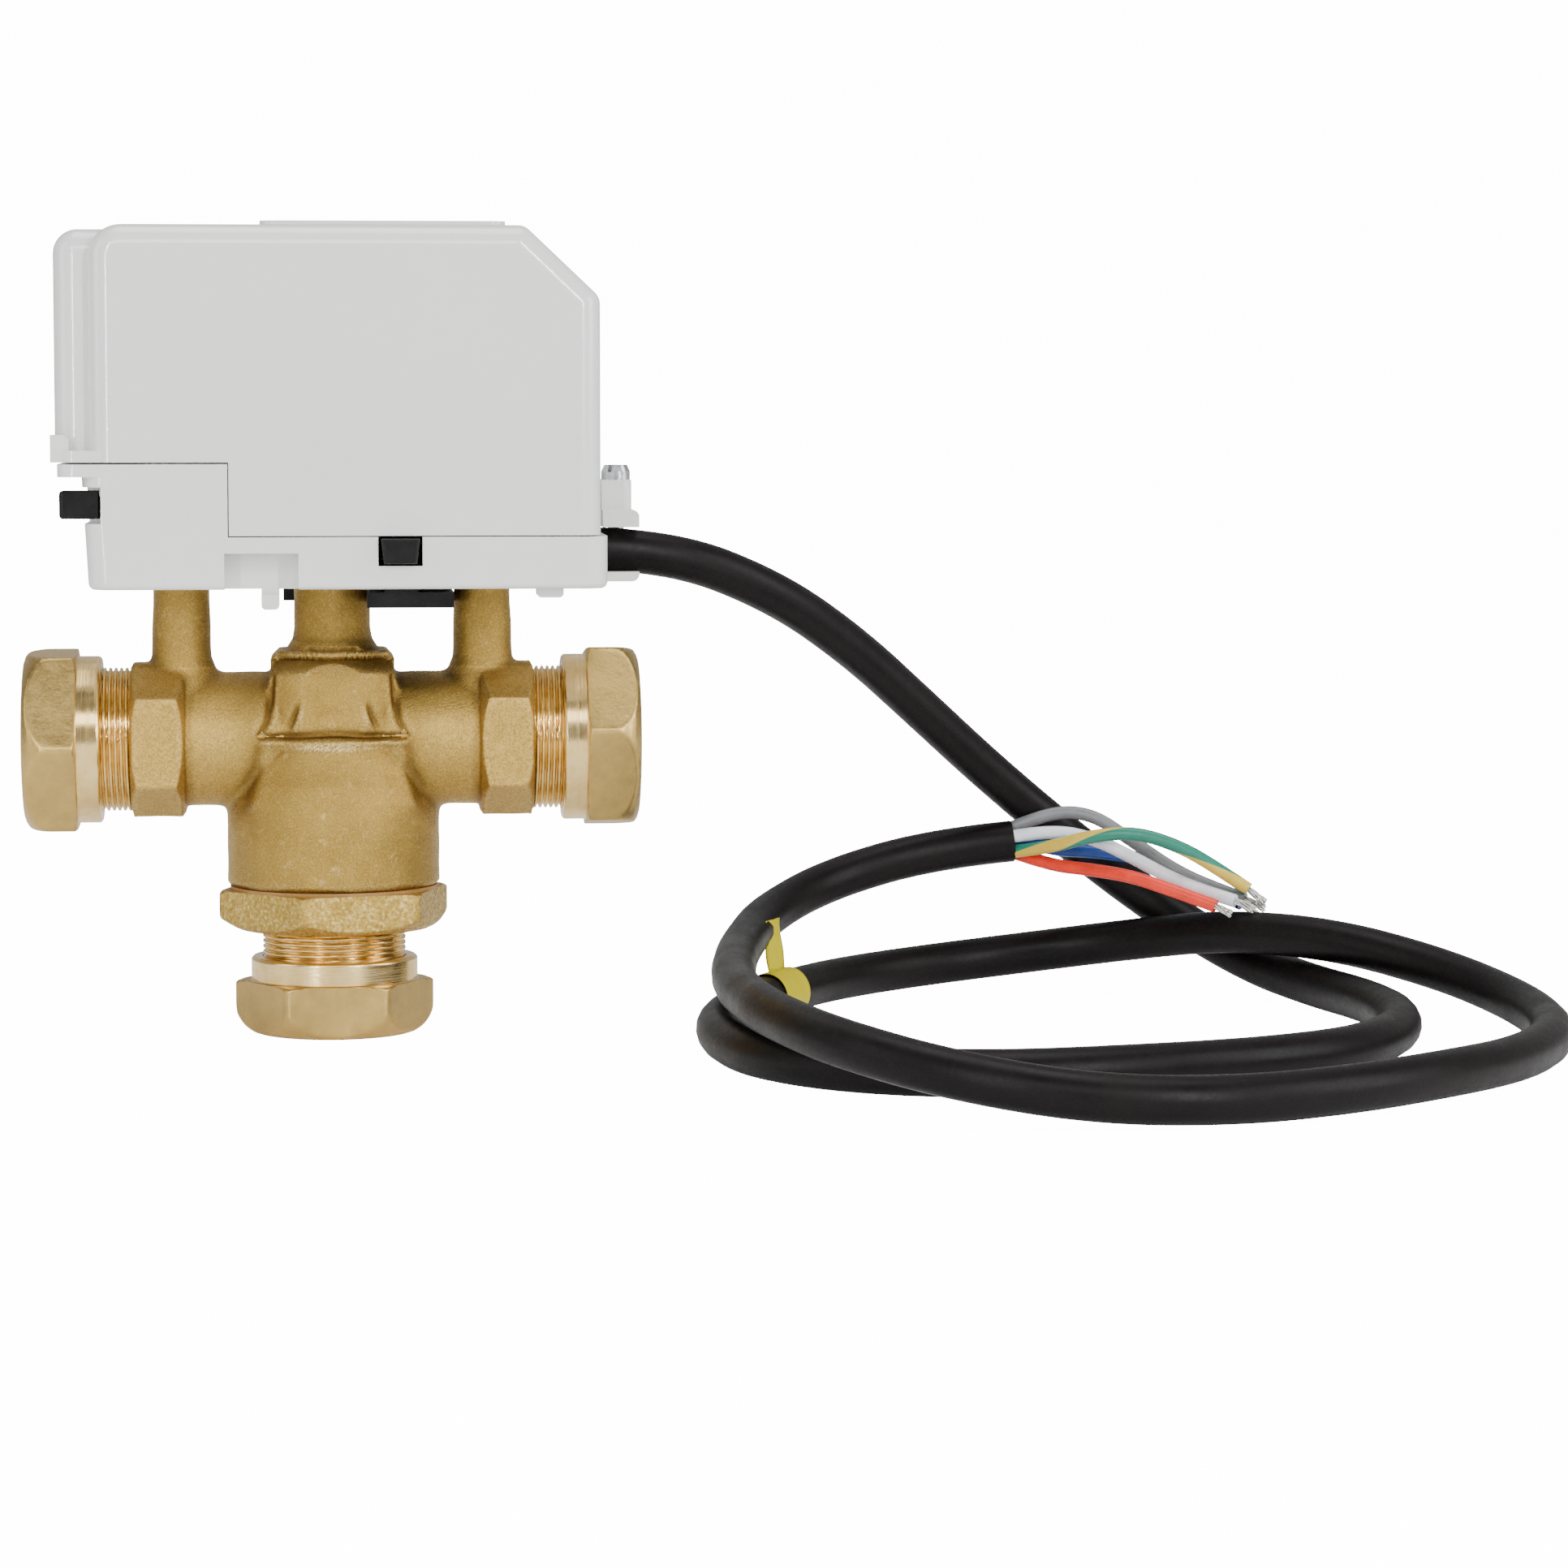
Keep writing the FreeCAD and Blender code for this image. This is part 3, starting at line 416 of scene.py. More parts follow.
def stripe_mat():
    k = Mat("core_green_yellow_stripe", (0.02, 0.3, 0.2), 0.36, spec=0.5)
    uv = k.n.new("ShaderNodeUVMap")
    uv.uv_map = "UVMap"
    sep = k.n.new("ShaderNodeSeparateXYZ")
    k.l.new(uv.outputs["UV"], sep.inputs["Vector"])
    t = k.math("FRACT", k.math("ADD", sep.outputs["X"], k.math("MULTIPLY", sep.outputs["Y"], 0.9)))
    band = k.math("ABSOLUTE", k.math("SUBTRACT", t, 0.5))
    f = k.maprange(band, 0.185, 0.205, 1.0, 0.0)
    big = k.noise(240.0, 3.0, 0.6)
    g = k.ramp(big, [(0.3, (0.004, 0.17, 0.105)), (0.7, (0.006, 0.21, 0.14))])
    y = k.ramp(big, [(0.3, (0.58, 0.40, 0.035)), (0.7, (0.70, 0.50, 0.06))])
    k.color(k.mix(f, g, y))
    k.bump(k.noise(2600.0, 2.0, 0.5), 0.1, 0.00006)
    return k.done()


def zinc_steel():
    k = Mat("bright_zinc_steel", (0.60, 0.63, 0.65), 0.24, metallic=1.0)
    mid = k.noise(600.0, 4.0, 0.6)
    big = k.noise(150.0, 3.0, 0.6)
    k.color(k.ramp(big, [(0.3, (0.50, 0.54, 0.56)), (0.7, (0.72, 0.74, 0.75))]))
    k.rough(k.maprange(mid, 0.3, 0.7, 0.16, 0.36))
    k.bump(mid, 0.2, 0.0001)
    return k.done()


def plain(name, base, rough, metallic=0.0, scale=300.0):
    k = Mat(name, base, rough, metallic=metallic)
    a = k.noise(scale, 4.0, 0.6)
    lo = tuple(v * 0.84 for v in base)
    hi = tuple(min(1.0, v * 1.14) for v in base)
    k.color(k.ramp(a, [(0.3, lo), (0.7, hi)]))
    k.rough(k.maprange(a, 0.3, 0.7, max(0.05, rough - 0.1), min(1.0, rough + 0.1)))
    k.bump(a, 0.15, 0.0001)
    return k.done()


def marker_mat():
    k = Mat("marker_yellow_film", (0.62, 0.52, 0.004), 0.55, spec=0.2)
    a = k.noise(90.0, 3.0, 0.6)
    b = k.noise(900.0, 3.0, 0.6)
    k.color(k.ramp(a, [(0.3, (0.42, 0.345, 0.0005)), (0.7, (0.52, 0.445, 0.001))]))
    k.bump(a, 0.3, 0.0006).bump(b, 0.15, 0.0001)
    return k.done()


M = {
    "cast": cast_brass(), "rough": rough_brass(), "nut": nut_brass(), "tx": turned_brass(0), "tz": turned_brass(2),
    "thread": turned_brass(0, True), "thread_z": turned_brass(2, True), "seal": plain("fibre_seal_brown", (0.30, 0.15, 0.03), 0.5),
    "grey": grey_plastic(), "black": black_plastic(), "cable": cable_pvc(), "zinc": zinc_steel(), "stripe": stripe_mat(),
    "w_grey": wire_mat("core_grey_pvc", (0.17, 0.178, 0.185)), "w_white": wire_mat("core_white_pvc", (0.76, 0.78, 0.84)),
    "w_blue": wire_mat("core_blue_pvc", (0.004, 0.055, 0.30)), "w_red": wire_mat("core_red_pvc", (0.80, 0.030, 0.008)),
    "tin": plain("tinned_copper_strand", (0.72, 0.70, 0.66), 0.3, 1.0, 900.0), "marker": marker_mat(),
    "rubber": plain("seal_rubber_black", (0.03, 0.03, 0.032), 0.6), "ptfe": plain("white_engineering_plastic", (0.74, 0.74, 0.7), 0.5),
    "stainless": plain("stainless_turned", (0.6, 0.6, 0.6), 0.25, 1.0), "motor": plain("motor_case_metal", (0.5, 0.51, 0.52), 0.38, 1.0),
    "board": plain("board_green", (0.02, 0.16, 0.06), 0.4), "redp": plain("red_plunger_plastic", (0.5, 0.03, 0.02), 0.4),
}

# ------------------------------------------------------------------ cords
exit_z = 89.3
route = [
    (47.4, 0.0, exit_z), (62.5, 2.2, 88.9), (82.9, 10.9, 80.9), (99.2, 24.2, 69.8), (113.6, 39.1, 57.3),
    (128.8, 52.2, 43.8), (146.0, 59.3, 29.5), (164.0, 54.7, 15.7), (178.8, 39.9, 6.5), (187.8, 18.3, 4.1),
    (193.2, -5.2, 4.1), (194.2, -29.1, 4.3), (189.5, -52.6, 4.3), (177.0, -73.1, 4.1), (156.9, -87.2, 4.2),
    (134.0, -96.5, 4.5), (110.5, -100.1, 4.3), (88.6, -92.2, 4.1), (73.6, -75.2, 4.1), (68.1, -52.4, 4.1),
    (68.7, -28.3, 4.2), (75.0, -4.8, 4.2), (85.1, 17.2, 4.1), (97.3, 37.4, 4.1), (114.9, 51.7, 4.7),
    (137.0, 55.8, 6.7), (158.1, 48.8, 10.0), (173.4, 32.4, 13.4), (191.3, 15.7, 13.4), (208.8, -1.3, 9.4),
    (218.3, -22.8, 5.8), (218.8, -46.5, 4.1), (212.4, -69.4, 4.1), (200.7, -90.0, 4.1), (185.1, -107.8, 4.5),
    (166.4, -122.6, 4.3), (144.8, -132.7, 4.1), (121.1, -135.1, 5.0), (98.5, -128.1, 8.3), (81.2, -112.0, 11.9),
    (73.6, -89.6, 13.4), (71.5, -65.7, 13.2), (71.1, -41.6, 12.8), (72.7, -17.6, 13.1), (76.2, 5.9, 14.5),
    (82.9, 27.9, 18.0), (97.2, 44.6, 23.1), (118.5, 52.2, 28.0), (134.1, 52.3, 29.4),
]
core_routes = {
    "wire_grey": [(133.87, 52.66, 31.96), (141.2, 51.2, 35.2), (149.4, 48.9, 35.2), (157.0, 45.0, 29.9),
                  (165.1, 40.0, 24.2), (172.3, 35.0, 21.2), (177.0, 31.5, 19.6)],
    "wire_white": [(134.01, 49.96, 30.53), (141.0, 46.8, 32.0), (148.8, 43.0, 30.8), (156.1, 39.5, 27.2),
                   (163.5, 35.5, 23.2), (170.1, 31.8, 20.8), (174.6, 28.6, 19.5)],
    "wire_green_yellow": [(134.28, 50.49, 27.54), (140.8, 44.6, 28.8), (148.2, 39.6, 31.5), (156.4, 36.5, 32.4),
                          (164.8, 34.0, 29.7), (171.7, 32.0, 25.6), (177.5, 30.0, 21.6)],
    "wire_blue": [(134.04, 54.86, 29.85), (141.6, 53.6, 27.5), (149.8, 51.2, 27.3), (158.5, 49.0, 26.3), (166.0, 45.0, 24.0),
                  (173.1, 39.5, 20.3), (177.3, 36.0, 18.1)],
    "wire_red": [(134.3, 53.52, 27.11), (141.0, 48.4, 24.9), (148.4, 41.8, 24.6), (155.4, 35.8, 23.8), (162.8, 31.3, 21.4),
                 (170.5, 27.0, 18.7)],
}
CABLE_D = 8.2
CORE_D = 2.6


def nurbs(name, pts_mm, d_mm, mat, bevel=True, res=10):
    cu = bpy.data.curves.new(name, "CURVE")
    cu.dimensions = "3D"
    sp = cu.splines.new("NURBS")
    sp.points.add(len(pts_mm) - 1)
    for p, q in zip(sp.points, pts_mm):
        p.co = (q[0] / 1000.0, q[1] / 1000.0, q[2] / 1000.0, 1.0)
    sp.order_u = 3
    sp.use_endpoint_u = True
    sp.resolution_u = res
    cu.resolution_u = res
    if bevel:
        cu.bevel_depth = d_mm / 2000.0
        cu.bevel_resolution = 7
        cu.use_fill_caps = True
    ob = bpy.data.objects.new(name, cu)
    coll.objects.link(ob)
    if mat:
        cu.materials.append(mat)
    return ob


def spline_points(pts_mm, res=24):
    """Points on the route's own spline, from a curve with no bevel."""
    tmp = nurbs("tmp_path", pts_mm, 1.0, None, bevel=False, res=res)
    bpy.context.view_layer.update()
    me = bpy.data.meshes.new_from_object(tmp.evaluated_get(bpy.context.evaluated_depsgraph_get()))
    pts = [v.co.copy() for v in me.vertices]
    bpy.data.objects.remove(tmp)
    bpy.data.meshes.remove(me)
    return pts


def frames_along(pts):
    """Tangent and two normals at each point, carried along without twist."""
    n = len(pts)
    tans = []
    for i in range(n):
        a = pts[max(i - 1, 0)]
        b = pts[min(i + 1, n - 1)]
        tans.append((b - a).normalized())
    ref = Vector((0, 0, 1))
    if abs(tans[0].dot(ref)) > 0.9:
        ref = Vector((0, 1, 0))
    u = (ref - tans[0] * ref.dot(tans[0])).normalized()
    out = []
    for t in tans:
        u = (u - t * u.dot(t)).normalized()
        out.append((t, u, t.cross(u)))
    return out


def tube_mesh(name, pts, radius, mat, seg=20, uv=True):
    fr = frames_along(pts)
    bm = bmesh.new()
    layer = bm.loops.layers.uv.new("UVMap")
    rings = []
    s = 0.0
    dist = []
    for i, p in enumerate(pts):
        if i:
            s += (pts[i] - pts[i - 1]).length
        dist.append(s)
        t, u, v = fr[i]
        rings.append([bm.verts.new(p + (u * math.cos(2 * math.pi * k / seg) + v * math.sin(2 * math.pi * k / seg)) * radius)
                      for k in range(seg)])
    for i in range(len(rings) - 1):
        for k in range(seg):
            k2 = (k + 1) % seg
            f = bm.faces.new((rings[i][k], rings[i][k2], rings[i + 1][k2], rings[i + 1][k]))
            f.smooth = True
            ua, ub = k / seg, (k + 1) / seg
            for lp, (uu, vv) in zip(f.loops, ((ua, dist[i]), (ub, dist[i]), (ub, dist[i + 1]), (ua, dist[i + 1]))):
                lp[layer].uv = (uu, vv * 28.0)
    bm.faces.new(list(reversed(rings[0])))
    bm.faces.new(rings[-1])
    me = bpy.data.meshes.new(name)
    bm.normal_update()
    bm.to_mesh(me)
    bm.free()
    me.materials.append(mat)
    ob = bpy.data.objects.new(name, me)
    coll.objects.link(ob)
    return ob


cable_ob = nurbs("lead_sheath", route, CABLE_D, M["cable"], res=12)
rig.ride(cable_ob, "valve")
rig.replaces(cable_ob, "cable")
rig.slot(cable_ob, "cable_black")

wires = {}
core_mats = {"wire_grey": "w_grey", "wire_white": "w_white", "wire_blue": "w_blue", "wire_red": "w_red"}
for nm, pts in core_routes.items():
    if nm == "wire_green_yellow":
        path = spline_points(pts)
        ob = tube_mesh("core_green_yellow", path, CORE_D / 2000.0, M["stripe"])
        wires[nm] = (ob, path)
        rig.slot(ob, "core_green")
    else:
        ob = nurbs(nm.replace("wire", "core"), pts, CORE_D, M[core_mats[nm]], res=12)
        wires[nm] = (ob, None)
        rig.slot(ob, {"wire_grey": "core_grey", "wire_white": "core_white", "wire_blue": "core_blue", "wire_red": "core_red"}[nm])
    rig.ride(ob, "valve")
    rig.replaces(ob, nm)

# tinned strands at the stripped ends: seven fine wires laid round each other
bm = bmesh.new()
for wi, (nm, pts) in enumerate(core_routes.items()):
    a, b = Vector(pts[-2]) / 1000.0, Vector(pts[-1]) / 1000.0
    d = (b - a).normalized()
    u = d.orthogonal().normalized()
    v = d.cross(u)
    L = 0.0048 - 0.0003 * wi
    for s in range(7):
        r0 = 0.0 if s == 0 else 0.00046
        ph = 2 * math.pi * s / 6 + wi
        rings = []
        nseg = 9
        for i in range(nseg + 1):
            q = i / nseg
            ang = ph + 1.9 * q
            spread = 1.0 + 0.55 * q * q * (1 if s % 2 else 0.5)
            c = b + d * (L * q - 0.0003) + (u * math.cos(ang) + v * math.sin(ang)) * r0 * spread
            c.z -= 0.0005 * q * q
            rr = 0.00021
            rings.append([bm.verts.new(c + (u * math.cos(t) + v * math.sin(t)) * rr) for t in [2 * math.pi * k / 8 for k in range(8)]])
        for i in range(nseg):
            for k in range(8):
                f = bm.faces.new((rings[i][k], rings[i][(k + 1) % 8], rings[i + 1][(k + 1) % 8], rings[i + 1][k]))
                f.smooth = True
        bm.faces.new(list(reversed(rings[0])))
        bm.faces.new(rings[-1])
me = bpy.data.meshes.new("bare_strands")
bm.normal_update()
bm.to_mesh(me)
bm.free()
me.materials.append(M["tin"])
strands = bpy.data.objects.new("bare_strands", me)
coll.objects.link(strands)
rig.ride(strands, "valve")
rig.replaces(strands, "bare_core_ends")
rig.slot(strands, "tinned_copper")

# yellow wrap marker on the lead, with its folded flag
lead_pts = spline_points(route, res=24)
mk = min(range(len(lead_pts)), key=lambda i: (lead_pts[i] - Vector((0.0845, 0.0140, 0.0041))).length)
half = 0
while (lead_pts[mk + half] - lead_pts[mk - half]).length < 0.0104:
    half += 1
band_pts = lead_pts[mk - half:mk + half + 1]
fr = frames_along(band_pts)
bm = bmesh.new()
seg = 36
rings = []
for (t, u, v), p in zip(fr, band_pts):
    ring = []
    for k in range(seg):
        an = 2 * math.pi * k / seg
        dvec = u * math.cos(an) + v * math.sin(an)
        rad = CABLE_D / 2000.0 + 0.00028 + 0.00008 * math.sin(3 * an + 1.0)
        q = p + dvec * rad
        q.z = max(q.z, 0.0003)
        ring.append(bm.verts.new(q))
    rings.append(ring)
for i in range(len(rings) - 1):
    for k in range(seg):
        f = bm.faces.new((rings[i][k], rings[i][(k + 1) % seg], rings[i + 1][(k + 1) % seg], rings[i + 1][k]))
        f.smooth = True
me = bpy.data.meshes.new("marker_band")
bm.normal_update()
bm.to_mesh(me)
bm.free()
me.materials.append(M["marker"])
band = bpy.data.objects.new("marker_band", me)
coll.objects.link(band)
sol = band.modifiers.new("thick", "SOLIDIFY")
sol.thickness = 0.00015
sol.offset = 1.0
# flag: both ends of the film stuck together, standing up from the band and leaning back
bm = bmesh.new()
t0, u0, v0 = fr[half]
base_p = band_pts[half] + Vector((0, 0, CABLE_D / 2000.0 + 0.0003))
side = Vector((t0.x, t0.y, 0)).normalized()
lean = Vector((-0.06, 0.12, 1.0)).normalized()
grid = []
nu, nv = 8, 10
for j in range(nv + 1):
    row = []
    for i in range(nu + 1):
        a = (i / nu - 0.5) * 0.0074
        h = j / nv * 0.0098
        p = base_p + side * a + lean * h
        p += Vector((-1, 0.2, 0)).normalized() * (0.0004 * math.sin(j / nv * 2.4) + 0.0002 * math.sin(i * 1.1 + j * 0.6))
        row.append(bm.verts.new(p))
    grid.append(row)
for j in range(nv):
    for i in range(nu):
        f = bm.faces.new((grid[j][i], grid[j][i + 1], grid[j + 1][i + 1], grid[j + 1][i]))
        f.smooth = True
me = bpy.data.meshes.new("marker_flag")
bm.normal_update()
bm.to_mesh(me)
bm.free()
me.materials.append(M["marker"])
flag = bpy.data.objects.new("marker_flag", me)
coll.objects.link(flag)
sol = flag.modifiers.new("thick", "SOLIDIFY")
sol.thickness = 0.0004
sol.offset = 0.0
for o in (band, flag):
    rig.ride(o, "valve")
    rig.slot(o, "marker_yellow")
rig.replaces(band, "cable_marker")

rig.cord(cable_ob, exit=(0.0565, 0.0012, 0.0892), length=1.10, diameter=0.0082, far_end="bare", stiffness="stiff", lay="loose",
        with_pieces=[band, flag])
for i, (nm, (ob, path)) in enumerate(wires.items()):
    p0 = Vector(core_routes[nm][0]) / 1000.0
    L = {"wire_grey": 0.0533, "wire_white": 0.0488, "wire_green_yellow": 0.0516, "wire_blue": 0.0499, "wire_red": 0.0460}[nm]
    kw = dict(exit=tuple(p0), length=L, diameter=0.0026, far_end="bare", stiffness="stiff", lay="loose")
    if path:
        kw["path"] = path
    if i == 0:
        kw["with_pieces"] = [strands]
    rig.cord(ob, **kw)


# ------------------------------------------------------------------ dense copies of CAD nodes, softened
def dense_copy(node, name, voxel, fill, soften, keep=None):
    """Voxel remesh of a node. fill: passes that only fill inner corners, as a casting's blends; soften: plain passes.
    keep(coords) gives 0 where the surface stays as it is."""
    src = frame["nodes"][node]
    me = bpy.data.meshes.new_from_object(src)
    ob = bpy.data.objects.new(name, me)
    coll.objects.link(ob)
    bm = bmesh.new()
    bm.from_mesh(me)
    bmesh.ops.remove_doubles(bm, verts=bm.verts, dist=1e-7)
    bm.to_mesh(me)
    bm.free()
    rm = ob.modifiers.new("remesh", "REMESH")
    rm.mode = "VOXEL"
    rm.voxel_size = voxel
    rm.adaptivity = 0.0
    bpy.context.view_layer.update()
    dg = bpy.context.evaluated_depsgraph_get()
    new = bpy.data.meshes.new_from_object(ob.evaluated_get(dg))
    ob.modifiers.clear()
    ob.data = new
    n = len(new.vertices)
    co = np.empty(n * 3, dtype=np.float64)
    new.vertices.foreach_get("co", co)
    co = co.reshape(-1, 3)
    e = np.empty(len(new.edges) * 2, dtype=np.int64)
    new.edges.foreach_get("vertices", e)
    e = e.reshape(-1, 2)
    deg = np.bincount(e.ravel(), minlength=n).astype(float)
    w = np.ones(n) if keep is None else keep(co)

    def lap(c):
        s = np.stack([np.bincount(e[:, 0], weights=c[e[:, 1], k], minlength=n)
                      + np.bincount(e[:, 1], weights=c[e[:, 0], k], minlength=n) for k in range(3)], axis=1)
        return s / deg[:, None] - c

    def normals(c):
        new.vertices.foreach_set("co", c.ravel())
        new.update()
        vn = np.empty(n * 3)
        new.vertices.foreach_get("normal", vn)
        return vn.reshape(-1, 3)

    # light pass first, to take the voxel steps out
    for _ in range(3):
        co = co + 0.5 * w[:, None] * lap(co)
    nrm = normals(co)
    for it in range(fill):
        d = lap(co)
        if it % 8 == 0:
            nrm = normals(co)
        h = (d * nrm).sum(1)
        h = np.clip(h - 0.000004, 0, None)
        co = co + (w * h * 0.9)[:, None] * nrm
        if it % 6 == 5:
            co = co + 0.35 * w[:, None] * (lap(co) - (lap(co) * nrm).sum(1)[:, None] * nrm)
    for _ in range(soften):
        co = co + 0.45 * w[:, None] * lap(co)
    new.vertices.foreach_set("co", co.ravel())
    new.polygons.foreach_set("use_smooth", np.ones(len(new.polygons), dtype=bool))
    new.update()
    return ob


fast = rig.quick()
vx = 0.0005 if fast else 0.00034


def body_weight(c):
    """How far an inner corner is filled, from 0 to 1: deep under the barrels, less at the posts, little on crisp parts."""
    mm = c * 1000.0
    ax, ay, z = np.abs(mm[:, 0]), np.abs(mm[:, 1]), mm[:, 2]
    w = np.full(len(c), 0.22)
    under = np.exp(-((ax - 20.5) / 5.0) ** 2 - ((z - 40.5) / 5.0) ** 2)
    foot = np.exp(-((z - 66.5) / 3.5) ** 2) * (ax > 18.5)
    flank = np.exp(-((ax - 17.5) / 4.0) ** 2 - ((z - 50.0) / 7.0) ** 2)
    w = np.maximum(w, np.maximum(under, np.maximum(0.55 * foot, 0.2 * flank)))
    w = np.where((ax < 15.5) & (z > 49) & (z < 73), np.minimum(w, 0.07), w)
    w = np.where(ax > 26.2, np.where(z < 67, np.minimum(w, 0.06), w), w)
    w = np.where(ax > 36.3, 0.0, w)
    return w


def dense_body():
    ob = dense_copy("valve_body", "valve_casting", vx, 70, 3, body_weight)
    me = ob.data
    n = len(me.vertices)
    co = np.empty(n * 3)
    me.vertices.foreach_get("co", co)
    nn = np.empty(n * 3)
    me.vertices.foreach_get("normal", nn)
    co, nn = co.reshape(-1, 3), nn.reshape(-1, 3)
    mm = co * 1000.0
    push = np.zeros(n)

    def dist_seg(px, pz, ax_, az_, bx_, bz_):
        dx, dz = bx_ - ax_, bz_ - az_
        t = np.clip(((px - ax_) * dx + (pz - az_) * dz) / (dx * dx + dz * dz), 0, 1)
        return np.hypot(px - ax_ - t * dx, pz - az_ - t * dz), t

    x, y, z = mm[:, 0], mm[:, 1], mm[:, 2]
    dark = np.zeros(n)
    light = np.zeros(n)

    def trail(side, pts, sigma):
        best = np.full(n, 1e9)
        for (ax_, az_), (bx_, bz_) in zip(pts, pts[1:]):
            d, _ = dist_seg(x, z, ax_, az_, bx_, bz_)
            best = np.minimum(best, d)
        return np.exp(-(best / sigma) ** 2) * ((y * side > 5.5) & (nn[:, 1] * side > 0.15))

    for side in (-1, 1):
        face = (y * side > 8.5) & (nn[:, 1] * side > 0.2) & (z > 51) & (z < 71)
        for sx in (-1, 1):
            # a fold on each side of the panel's foot, pushed in, with painted shade in the crease and a painted
            # highlight beside it
            d, t = dist_seg(x, z, sx * 6.0, 62.4, sx * 8.5, 56.0)
            fold = face * np.sin(np.pi * np.clip(t, 0.05, 0.95)) * np.exp(-(d / 0.55) ** 2)
            push -= 0.7 * fold
            dark += 0.50 * fold
            d2, t2 = dist_seg(x, z, sx * 5.0, 61.6, sx * 7.3, 56.4)
            light += 0.25 * face * np.sin(np.pi * np.clip(t2, 0.05, 0.95)) * np.exp(-(d2 / 0.45) ** 2)
            # the root between the block and the barrel, down to the ledge, pushed in with painted shade; its rim pushed
            # out with a painted highlight
            root = trail(side, [(sx * 11.1, 66.2), (sx * 11.5, 61.5), (sx * 11.9, 58.6), (sx * 13.2, 55.9)], 0.62)
            push -= 0.6 * root
            dark += 0.60 * root
            rim = trail(side, [(sx * 10.0, 66.0), (sx * 10.4, 61.0), (sx * 10.8, 58.4)], 0.6)
            push += 0.2 * rim
            light += 0.08 * rim
            # the root between the bell and the barrel, pushed in with painted shade; the bulge beside it pushed out
            # with a painted highlight
            flank = trail(side, [(sx * 13.5, 54.6), (sx * 14.3, 49.5), (sx * 16.5, 42.6), (sx * 18.0, 39.6)], 1.3) * np.clip((z - 38.0) / 5.0, 0, 1)
            push -= 0.35 * flank
            dark += 0.30 * flank
            bulge = trail(side, [(sx * 11.6, 53.6), (sx * 12.6, 49.0), (sx * 14.6, 43.0)], 1.3)
            push += 0.30 * bulge
            light += 0.06 * bulge
        mid = np.clip(1 - np.abs(x) / 8.0, 0, 1)
        push += face * 0.6 * mid * np.exp(-((z - 57.6) / 1.7) ** 2)
        # the root and the lip of the ledge: painted shade in the root, painted highlight along the lip and under it at
        # the middle
        ledge = face * np.clip((13.8 - np.abs(x)) / 1.0, 0, 1) * np.exp(-((z - 55.7 - 0.35 * mid) / 0.5) ** 2)
        push -= 0.65 * ledge
        dark += 0.55 * ledge
        lip = face * np.clip((13.8 - np.abs(x)) / 1.0, 0, 1)
        push += 0.40 * lip * np.exp(-((z - 54.4) / 0.6) ** 2)
        light += lip * (0.12 * np.exp(-((z - 54.5) / 0.35) ** 2) + 0.8 * np.exp(-((z - 53.6) / 0.6) ** 2) * np.exp(-(x / 6.0) ** 2))
        # rolled top edge of the block, pushed in, with painted shade where it turns upwards
        roll = (y * side > 7.0) & (nn[:, 1] * side > 0.1) & (np.abs(x) < 12.5) & (z < 71.5)
        up = np.clip((z - 66.3) / 4.0, 0, 1)
        push -= 1.5 * roll * up ** 2
        dark += 0.45 * roll * np.clip((z - 65.9) / 1.6, 0, 1)
        # painted shade on the upward-facing belly of the barrels just under their top line
    under = np.clip((nn[:, 2] - 0.25) / 0.6, 0, 1) * (np.abs(x) > 11.5) * (np.abs(x) < 26.3) * (z < 66.5)
    dark += 0.10 * under
    # uneven skin of a sand casting
    wob = (np.sin(x * 0.83 + 1.3 * np.sin(z * 0.41)) + np.sin(z * 0.77 + y * 0.5) + np.sin(y * 0.9 - x * 0.35 + 2.0)) * 0.035
    skin = (np.abs(x) < 36.0) & (np.hypot(y, z - 54.5) > 11.8)
    push += wob * skin
    co = co + nn * (push / 1000.0)[:, None]
    me.vertices.foreach_set("co", co.ravel())
    me.update()
    # painted shade in the concave corners left by the founder's fillets, painted highlight on the convex edges
    ed = np.empty(len(me.edges) * 2, dtype=np.int64)
    me.edges.foreach_get("vertices", ed)
    ed = ed.reshape(-1, 2)
    deg = np.maximum(np.bincount(ed.ravel(), minlength=n).astype(float), 1.0)

    def spread(v, times):
        for _ in range(times):
            v = (np.bincount(ed[:, 0], weights=v[ed[:, 1]], minlength=n) + np.bincount(ed[:, 1], weights=v[ed[:, 0]], minlength=n)) / deg
        return v

    n2 = np.empty(n * 3)
    me.vertices.foreach_get("normal", n2)
    n2 = n2.reshape(-1, 3)
    bend = np.zeros(n)
    for k in range(3):
        bend += (spread(co[:, k], 6) - co[:, k]) * n2[:, k]
    bend = spread(bend, 4) / vx
    dark += np.clip(bend * 3.5, 0, 0.35) * (np.abs(x) < 36.0)
    light += np.clip(-bend * 2.0 - 0.16, 0, 0.12) * (np.abs(x) < 36.0)
